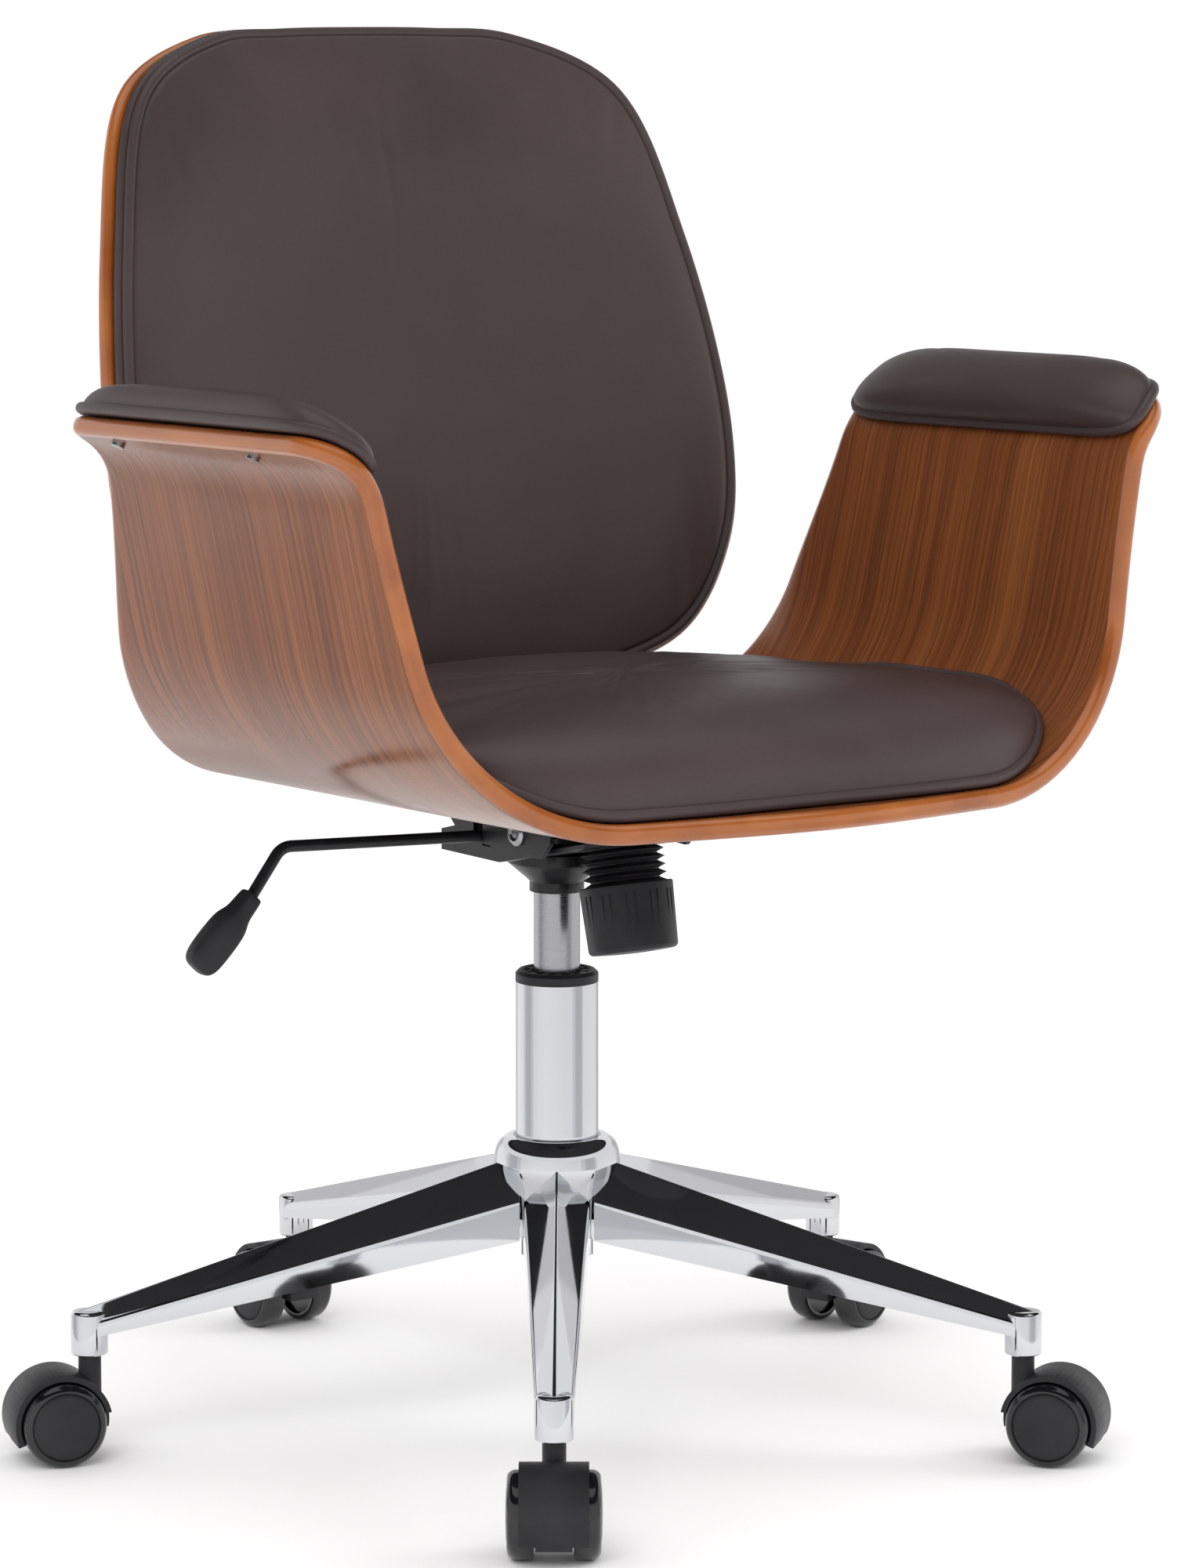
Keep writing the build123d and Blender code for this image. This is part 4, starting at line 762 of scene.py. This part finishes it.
# Arm pads, on the rolled lips
armPad = dict(startAngle=math.radians(30.0), past=0.001, lift=0.0006, thick=0.0235, edge=0.0045,
              edgeShare=0.7, inset=0.004, frontCorner=0.040, rearCorner=0.020, squareness=(0.42, 0.21),
              hardness=4.5, softness=2.0, piping=0.0033, tuck=0.98, around=150, topRings=22, underRings=10,
              hub=0.05, air=dict(freeRings=20, cap=0.004, bending=0.5))


def makeArmPad(side, name, node):
    spec = armPad
    base = seat["ply"] + spec["lift"]
    start = armEnd + seat["lipRadius"] * (spec["startAngle"] - seat["lean"])
    stop = lipEnd + seat["lipLength"] + spec["past"]
    edge = slantOf(stop, seat["ply"]) + spec["past"]
    reach = outlineOf(edge, spec["inset"], spec["frontCorner"], spec["rearCorner"])

    def place(q, t, height):
        # q runs from the start to the lip's end and t from front to rear, both from 0 to 1
        x, z, nx, nz = profile(start + (stop - start) * q, base)
        f, r = reach((x + z) / math.sqrt(2))
        y = -f + (f + r) * t
        return seatPoint(side * (x + nx * height), y, z + nz * height)

    rim = []
    for c, s in circle(spec["around"]):
        q = math.copysign(abs(c) ** spec["squareness"][0], c)
        t = math.copysign(abs(s) ** spec["squareness"][1], s)
        rim.append((0.5 + 0.5 * q, 0.5 + 0.5 * t))

    def loopAt(r, height):
        return [place(0.5 + (q - 0.5) * r, 0.5 + (t - 0.5) * r, height) for q, t in rim]

    loops = []
    for r in ringPlaces(spec["topRings"], spec["hub"]):
        dome = (spec["thick"] - spec["edge"]) * domed(r, spec["hardness"], spec["softness"])
        loops.append(loopAt(r, spec["edge"] * spec["edgeShare"] + dome))
    for r in reversed(ringPlaces(spec["underRings"], spec["hub"])):
        loops.append(loopAt(r * spec["tuck"], 0.0))
    body = pillow(name, loops, leather)
    puffed(body, spec["around"], spec["air"])
    pipe = tube(name + "Piping", [place(q, t, spec["piping"]) for q, t in rim], spec["piping"])
    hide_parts(node)
    padParts(body, pipe)


makeArmPad(1, "armCushionLeft", "arm_pad_left")
makeArmPad(-1, "armCushionRight", "arm_pad_right")
print("arm pads made")


# Legs: one pressed leg with upright feet, flat sloping flanks and a narrow ridge, repeated round the column.
# bossLevels are the (radius, height) of the socket for the caster's stem at the leg's end
leg = dict(count=5, heading=math.radians(236.0), root=0.030, stem=0.290, nose=0.0095, noseRadius=0.0104,
           noseLeast=0.0002, rootBottom=0.116, rootTop=0.1635, tipBottom=0.0740, tipTop=0.0905,
           rootHalf=0.020, tipHalf=0.0108, shoulder=0.50, creaseRadius=0.0030, creaseSteps=6,
           ridgeRadius=0.0016, ridgeSteps=8, hollowDepth=0.012, hollowEnd=0.265, hollowSlope=0.4,
           wall=0.0022, wallShare=0.4, wallDraft=1.4, steps=30, noseSteps=8, bossSides=40)
bossLevels = [(0.0061, 0.0700), (0.0061, 0.0625), (0.0104, 0.0625), (0.0110, 0.0631), (0.0110, 0.0858),
              (0.0107, 0.0870), (0.0099, 0.0878), (0.0070, 0.0882), (0.0001, 0.0883)]


def bezier(start, middle, end, t):
    return tuple(start * (1 - t) ** 2 + middle * 2 * t * (1 - t) + end * t * t)


def legLoop(out):
    # section of the leg this far from the column's axis
    f = (out - leg["root"]) / (leg["stem"] - leg["root"])
    bottom = leg["rootBottom"] + (leg["tipBottom"] - leg["rootBottom"]) * f
    top = leg["rootTop"] + (leg["tipTop"] - leg["rootTop"]) * f
    half = leg["rootHalf"] + (leg["tipHalf"] - leg["rootHalf"]) * f
    if out > leg["stem"]:
        square = leg["noseRadius"] ** 2 - (out - leg["stem"]) ** 2
        half = min(half, math.sqrt(max(square, 0.0)) + leg["noseLeast"])
    crease = Vector((-half, bottom + leg["shoulder"] * (top - bottom)))
    ridge = Vector((0.0, top))
    slope = (ridge - crease).normalized()
    below = crease - Vector((0.0, leg["creaseRadius"]))
    above = crease + slope * leg["creaseRadius"]
    outer = [(-half, bottom)]
    outer += [bezier(below, crease, above, k / leg["creaseSteps"]) for k in range(leg["creaseSteps"] + 1)]
    brow = ridge - slope * leg["ridgeRadius"]
    farBrow = Vector((-brow.x, brow.y))
    outer += [bezier(brow, ridge, farBrow, k / leg["ridgeSteps"]) for k in range(leg["ridgeSteps"] // 2)]
    otherSide = [(-y, z) for y, z in reversed(outer)]
    outer.append((0.0, (brow.y + ridge.y) / 2))
    depth = max(min(leg["hollowDepth"], (leg["hollowEnd"] - out) * leg["hollowSlope"]), 0.0)
    lip = min(leg["wall"], half * leg["wallShare"])
    inner = half - lip * leg["wallDraft"]
    hollow = [(half - lip, bottom), (inner, bottom + depth), (-inner, bottom + depth), (-half + lip, bottom)]
    return [Vector((out, y, z)) for y, z in outer + otherSide + hollow]


def makeLegMesh():
    bm = bmesh.new()
    outs = [leg["root"] + (leg["stem"] - leg["root"]) * k / leg["steps"] for k in range(leg["steps"] + 1)]
    outs += [leg["stem"] + leg["nose"] * math.sin(math.pi / 2 * k / leg["noseSteps"])
             for k in range(1, leg["noseSteps"] + 1)]
    rings = [[bm.verts.new(p) for p in legLoop(out)] for out in outs]
    for a, b in zip(rings, rings[1:]):
        bridge(bm, a, b)
    bm.faces.new(rings[0])
    bm.faces.new(rings[-1])
    sides = circle(leg["bossSides"])
    boss = [[bm.verts.new((leg["stem"] + radius * c, radius * s, height)) for c, s in sides]
            for radius, height in bossLevels]
    for a, b in zip(boss, boss[1:]):
        bridge(bm, a, b)
    bmesh.ops.recalc_face_normals(bm, faces=bm.faces)
    return bm


def makeLegs():
    obj = linkMesh("chromeLegs", makeLegMesh(), chrome)
    group = bpy.data.node_groups.new("legsRoundColumn", "GeometryNodeTree")
    face = group.interface
    for label, way, kind in (("Geometry", "INPUT", "Geometry"), ("Count", "INPUT", "Int"),
                             ("Heading", "INPUT", "Float"), ("Finish", "INPUT", "Material"),
                             ("Geometry", "OUTPUT", "Geometry")):
        face.new_socket(label, in_out=way, socket_type="NodeSocket" + kind)
    given = addNode(group, "NodeGroupInput").outputs
    points = addNode(group, "GeometryNodeMeshLine", {"Count": given["Count"], "Offset": (0.0, 0.0, 0.0)})
    index = addNode(group, "GeometryNodeInputIndex")
    step = addNode(group, "ShaderNodeMath", {0: 2 * math.pi, 1: given["Count"]}, operation="DIVIDE")
    turn = addNode(group, "ShaderNodeMath", {0: index.outputs[0], 1: step.outputs[0], 2: given["Heading"]},
                   operation="MULTIPLY_ADD")
    angle = addNode(group, "ShaderNodeCombineXYZ", {"Z": turn.outputs[0]})
    copies = addNode(group, "GeometryNodeInstanceOnPoints",
                     {"Points": points.outputs["Mesh"], "Instance": given["Geometry"],
                      "Rotation": angle.outputs["Vector"]})
    real = addNode(group, "GeometryNodeRealizeInstances", {"Geometry": copies.outputs["Instances"]})
    finish = addNode(group, "GeometryNodeSetMaterial",
                     {"Geometry": real.outputs["Geometry"], "Material": given["Finish"]})
    addNode(group, "NodeGroupOutput", {"Geometry": finish.outputs["Geometry"]})
    modifier = obj.modifiers.new("repeat", "NODES")
    modifier.node_group = group
    wanted = {"Count": leg["count"], "Heading": leg["heading"], "Finish": chrome}
    for item in face.items_tree:
        if item.item_type == "SOCKET" and item.in_out == "INPUT" and item.name in wanted:
            modifier[item.identifier] = wanted[item.name]
    applied(obj)
    smoothByAngle(obj, 40.0)
    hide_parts("leg_1", "leg_2", "leg_3", "leg_4", "leg_5")
    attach(obj, "base")


makeLegs()
print("legs made")


# Lever handle: a moulded paddle on the end of the rod. Stations are (share of length, half width, half depth)
def makeHandle():
    spec = dict(start=(-0.209, 0.005, 0.340), tilt=math.radians(44.0), length=0.0555, squareness=0.55,
                around=36)
    stations = [(0.0, 0.0042, 0.0042), (0.0, 0.0056, 0.0054), (0.02, 0.0062, 0.0060),
                (0.20, 0.0068, 0.0064), (0.26, 0.0072, 0.0066), (0.34, 0.0094, 0.0072),
                (0.42, 0.0106, 0.0077), (0.60, 0.0110, 0.0080), (0.80, 0.0109, 0.0078),
                (0.90, 0.0102, 0.0072), (0.96, 0.0086, 0.0062), (0.99, 0.0062, 0.0046), (1.0, 0.0034, 0.0026)]
    along = Vector((-math.sin(spec["tilt"]), 0, -math.cos(spec["tilt"])))
    wide = Vector((math.cos(spec["tilt"]), 0, -math.sin(spec["tilt"])))
    deep = Vector((0, 1, 0))
    rim = [[math.copysign(abs(v) ** spec["squareness"], v) for v in pair] for pair in circle(spec["around"])]
    loops = []
    for share, halfWidth, halfDepth in stations:
        middle = Vector(spec["start"]) + along * share * spec["length"]
        loops.append([middle + wide * halfWidth * c + deep * halfDepth * s for c, s in rim])
    obj = pillow("leverPaddle", loops, blackPlastic)
    subdivided(obj, True)
    smoothByAngle(obj, 60.0)
    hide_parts("lever_handle")
    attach(obj, "lever")


makeHandle()
print("lever handle made")


# Caster wheels: glossy rounded rim and tread round a matt domed disc. The profile is (along the axle, radius)
wheel = dict(trail=0.020, radius=0.025, around=72, discRow=18, faceTip=0.0269, innerHub=0.0112)
wheelProfile = [(0.0112, 0.0034), (0.0112, 0.0070), (0.0140, 0.0080), (0.0140, 0.0200), (0.0112, 0.0210),
                (0.0110, 0.0222), (0.0110, 0.0238), (0.0114, 0.0246), (0.0122, 0.0250), (0.0170, 0.0250),
                (0.0212, 0.0250), (0.0228, 0.02475), (0.0242, 0.0240), (0.0253, 0.0229), (0.0260, 0.0216),
                (0.0262, 0.0208), (0.0260, 0.02045), (0.0255, 0.0203), (0.0251, 0.0202), (0.0251, 0.0200),
                (0.0255, 0.01985), (0.0259, 0.0196), (0.0263, 0.0170), (0.0266, 0.0130), (0.0268, 0.0070)]


def makeWheel(number, sideName):
    nodeName = f"caster_{number}_wheel_{sideName}"
    turn = leg["heading"] + 2 * math.pi * (number - 1) / leg["count"]
    out = Vector((math.cos(turn), math.sin(turn), 0.0))
    axle = Vector((-math.sin(turn), math.cos(turn), 0.0))
    up = Vector((0, 0, 1))
    centre = out * (leg["stem"] + wheel["trail"]) + up * wheel["radius"]
    low, high = (Vector(c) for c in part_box(nodeName))
    if ((low + high) / 2 - centre).dot(axle) < 0:  # the axle points to this wheel's side
        axle = -axle
    bm = bmesh.new()
    n = wheel["around"]
    rings = [[bm.verts.new(centre + axle * along + (out * c + up * s) * r) for c, s in circle(n)]
             for along, r in wheelProfile]
    for row, (a, b) in enumerate(zip(rings, rings[1:])):
        for face in bridge(bm, a, b):
            face.material_index = 1 if row >= wheel["discRow"] else 0
    tip = bm.verts.new(centre + axle * wheel["faceTip"])
    inner = bm.verts.new(centre + axle * wheel["innerHub"])
    for k in range(n):
        bm.faces.new([rings[-1][k], rings[-1][(k + 1) % n], tip]).material_index = 1
        bm.faces.new([rings[0][(k + 1) % n], rings[0][k], inner])
    bmesh.ops.recalc_face_normals(bm, faces=bm.faces)
    obj = linkMesh(f"casterWheel{number}{sideName.capitalize()}", bm, glossPlastic, blackPlastic)
    smoothByAngle(obj, 50.0)
    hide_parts(nodeName)
    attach(obj, f"caster_{number}_{sideName}")


for number in range(1, leg["count"] + 1):
    for sideName in ("left", "right"):
        makeWheel(number, sideName)
print("caster wheels made")


# Finishes for the CAD pieces that stay
slotMaterial = {"chrome": chrome, "steel": brightSteel, "black_plastic": blackPlastic,
                "wheel_plastic": glossPlastic, "black_steel": blackPaint, "walnut_ply": veneer,
                "leather": leather}
slotOf = {part["node"]: part["material_slot"] for part in frame["record"]["subparts"]}
for nodeName, obj in nodes.items():
    obj.data.materials.clear()
    obj.data.materials.append(slotMaterial[slotOf[nodeName]])

# Broken edges on the moulded and pressed pieces: radius by the ending of the node's name
edgeRounding = {"hood": 0.0014, "mech_pot": 0.0008, "seat_plate": 0.0006, "back_bracket": 0.0010,
                "lock_slider": 0.0006}
sharpest = math.radians(40.0)
weldWithin = 0.00001
for nodeName, obj in nodes.items():
    for ending, radius in edgeRounding.items():
        if nodeName.endswith(ending):
            weld = obj.modifiers.new("weld", "WELD")
            weld.merge_threshold = weldWithin
            bevel = obj.modifiers.new("rounding", "BEVEL")
            bevel.width = radius
            bevel.segments = 2
            bevel.limit_method = "ANGLE"
            bevel.angle_limit = sharpest
            bevel.harden_normals = True
print("finishes set")


# Stage: floor, sky, cards that only polished pieces mirror, lights and camera

def matte(name, colour, specular=0.0):
    # card or paper without a shine
    material, tree, shader = newMaterial(name)
    setInputs(tree, shader, {"Base Color": srgb(colour), "Roughness": 1.0, "Specular IOR Level": specular})
    return material


def makeFloor():
    spec = dict(half=9.0, colour="FFFFFF")
    bm = bmesh.new()
    bmesh.ops.create_grid(bm, x_segments=1, y_segments=1, size=spec["half"])
    linkMesh("floor", bm, matte("PaleFloor", spec["colour"]))
    world = bpy.data.worlds.new("studio")
    bpy.context.scene.world = world
    world.use_nodes = True
    setInputs(world.node_tree, world.node_tree.nodes["Background"], {"Color": grey(1.0), "Strength": 1.0})


def makeDrape():
    # a dark band far out and high up, as (radius, height) of its lower and upper edge
    spec = dict(lower=(7.0, 4.0), upper=(4.6, 7.0), sides=64, colour="0A0A0A", specular=0.5)
    bm = bmesh.new()
    low, high = ([bm.verts.new((radius * c, radius * s, height)) for c, s in circle(spec["sides"])]
                 for radius, height in (spec["lower"], spec["upper"]))
    bridge(bm, low, high)
    return linkMesh("drape", bm, matte("DarkDrape", spec["colour"], spec["specular"]))


def makePanels():
    # a low ring of white, pale and grey cards that gives the column its upright bands, given in degrees
    spec = dict(radius=0.72, height=0.36, cards=90, fade=8,
                bands=((20, 36), (78, 90), (140, 160), (288, 306)))
    bm = bmesh.new()
    sides = circle(spec["cards"])
    for k, a in enumerate(sides):
        b = sides[k + 1 - spec["cards"]]
        places = ((a, 0.0), (b, 0.0), (b, spec["height"]), (a, spec["height"]))
        corners = [bm.verts.new((spec["radius"] * c, spec["radius"] * s, z)) for (c, s), z in places]
        heading = (k + 0.5) * 360.0 / spec["cards"]
        beyond = min(max(low - heading, heading - high, 0.0) for low, high in spec["bands"])
        bm.faces.new(corners).material_index = 2 if beyond == 0 else 1 if beyond < spec["fade"] else 0
    return linkMesh("panels", bm, matte("WhiteCard", "FFFFFF"), matte("PaleCard", "E8E8EA"),
                    matte("GreyCard", "D0D0D2"))


def makeShadeCard():
    # a dark card under the seat, seen from below only, that stands in for the seat's shaded underside:
    # painted shade, which the chrome mirrors as black on the upper flanks of the legs
    spec = dict(radius=0.33, height=0.372, y=-0.04, sides=48, colour="363637")
    bm = bmesh.new()
    bm.faces.new([bm.verts.new((spec["radius"] * c, spec["y"] - spec["radius"] * s, spec["height"]))
                  for c, s in circle(spec["sides"])])
    # the card's dark grey is painted shade, mirrored by the chrome only
    material = matte("PaintedShadeCard", spec["colour"])
    tree = material.node_tree
    fromAbove = addNode(tree, "ShaderNodeNewGeometry").outputs["Backfacing"]
    clear = addNode(tree, "ShaderNodeBsdfTransparent").outputs["BSDF"]
    paper = tree.nodes["Principled BSDF"].outputs["BSDF"]
    either = addNode(tree, "ShaderNodeMixShader", {0: fromAbove, 1: paper, 2: clear})
    setInputs(tree, tree.nodes["Material Output"], {"Surface": either.outputs["Shader"]})
    return linkMesh("card", bm, material)


def areaLight(name, place, size, power):
    target = Vector((0, 0, 0.5))  # the middle of the chair
    light = bpy.data.lights.new(name, "AREA")
    light.shape = "RECTANGLE"
    light.size, light.size_y = size
    light.energy = power
    obj = bpy.data.objects.new(name, light)
    obj.location = place
    obj.rotation_euler = (target - Vector(place)).to_track_quat("-Z", "Y").to_euler()
    obj.visible_glossy = False
    bpy.context.scene.collection.objects.link(obj)


makeFloor()
for hidden in (makeDrape(), makePanels(), makeShadeCard()):
    for ray in ("camera", "diffuse", "shadow", "transmission"):
        setattr(hidden, "visible_" + ray, False)
areaLight("keyLight", (-2.2, -2.0, 2.6), (1.8, 1.8), 30)
areaLight("sideLight", (2.6, -1.2, 1.6), (1.2, 2.0), 25)

# The camera that took the photo: focal length and frame height in the photo's pixels
shot = dict(place=(-1.8539, -2.7846, 0.861), azimuth=math.radians(34.0), down=math.radians(8.028),
            focal=7202.1, frameHeight=2000.0, sensor=36.0)
camera = bpy.data.cameras.new("photoCamera")
camera.sensor_fit = "VERTICAL"
camera.sensor_height = shot["sensor"]
camera.lens = shot["focal"] / shot["frameHeight"] * shot["sensor"]
cameraObject = bpy.data.objects.new("photoCamera", camera)
cameraObject.location = shot["place"]
level = math.cos(shot["down"])
look = Vector((math.sin(shot["azimuth"]) * level, math.cos(shot["azimuth"]) * level, -math.sin(shot["down"])))
cameraObject.rotation_euler = look.to_track_quat("-Z", "Y").to_euler()
bpy.context.scene.collection.objects.link(cameraObject)
bpy.context.scene.camera = cameraObject
bpy.context.scene.view_settings.view_transform = "Standard"
print("stage made")
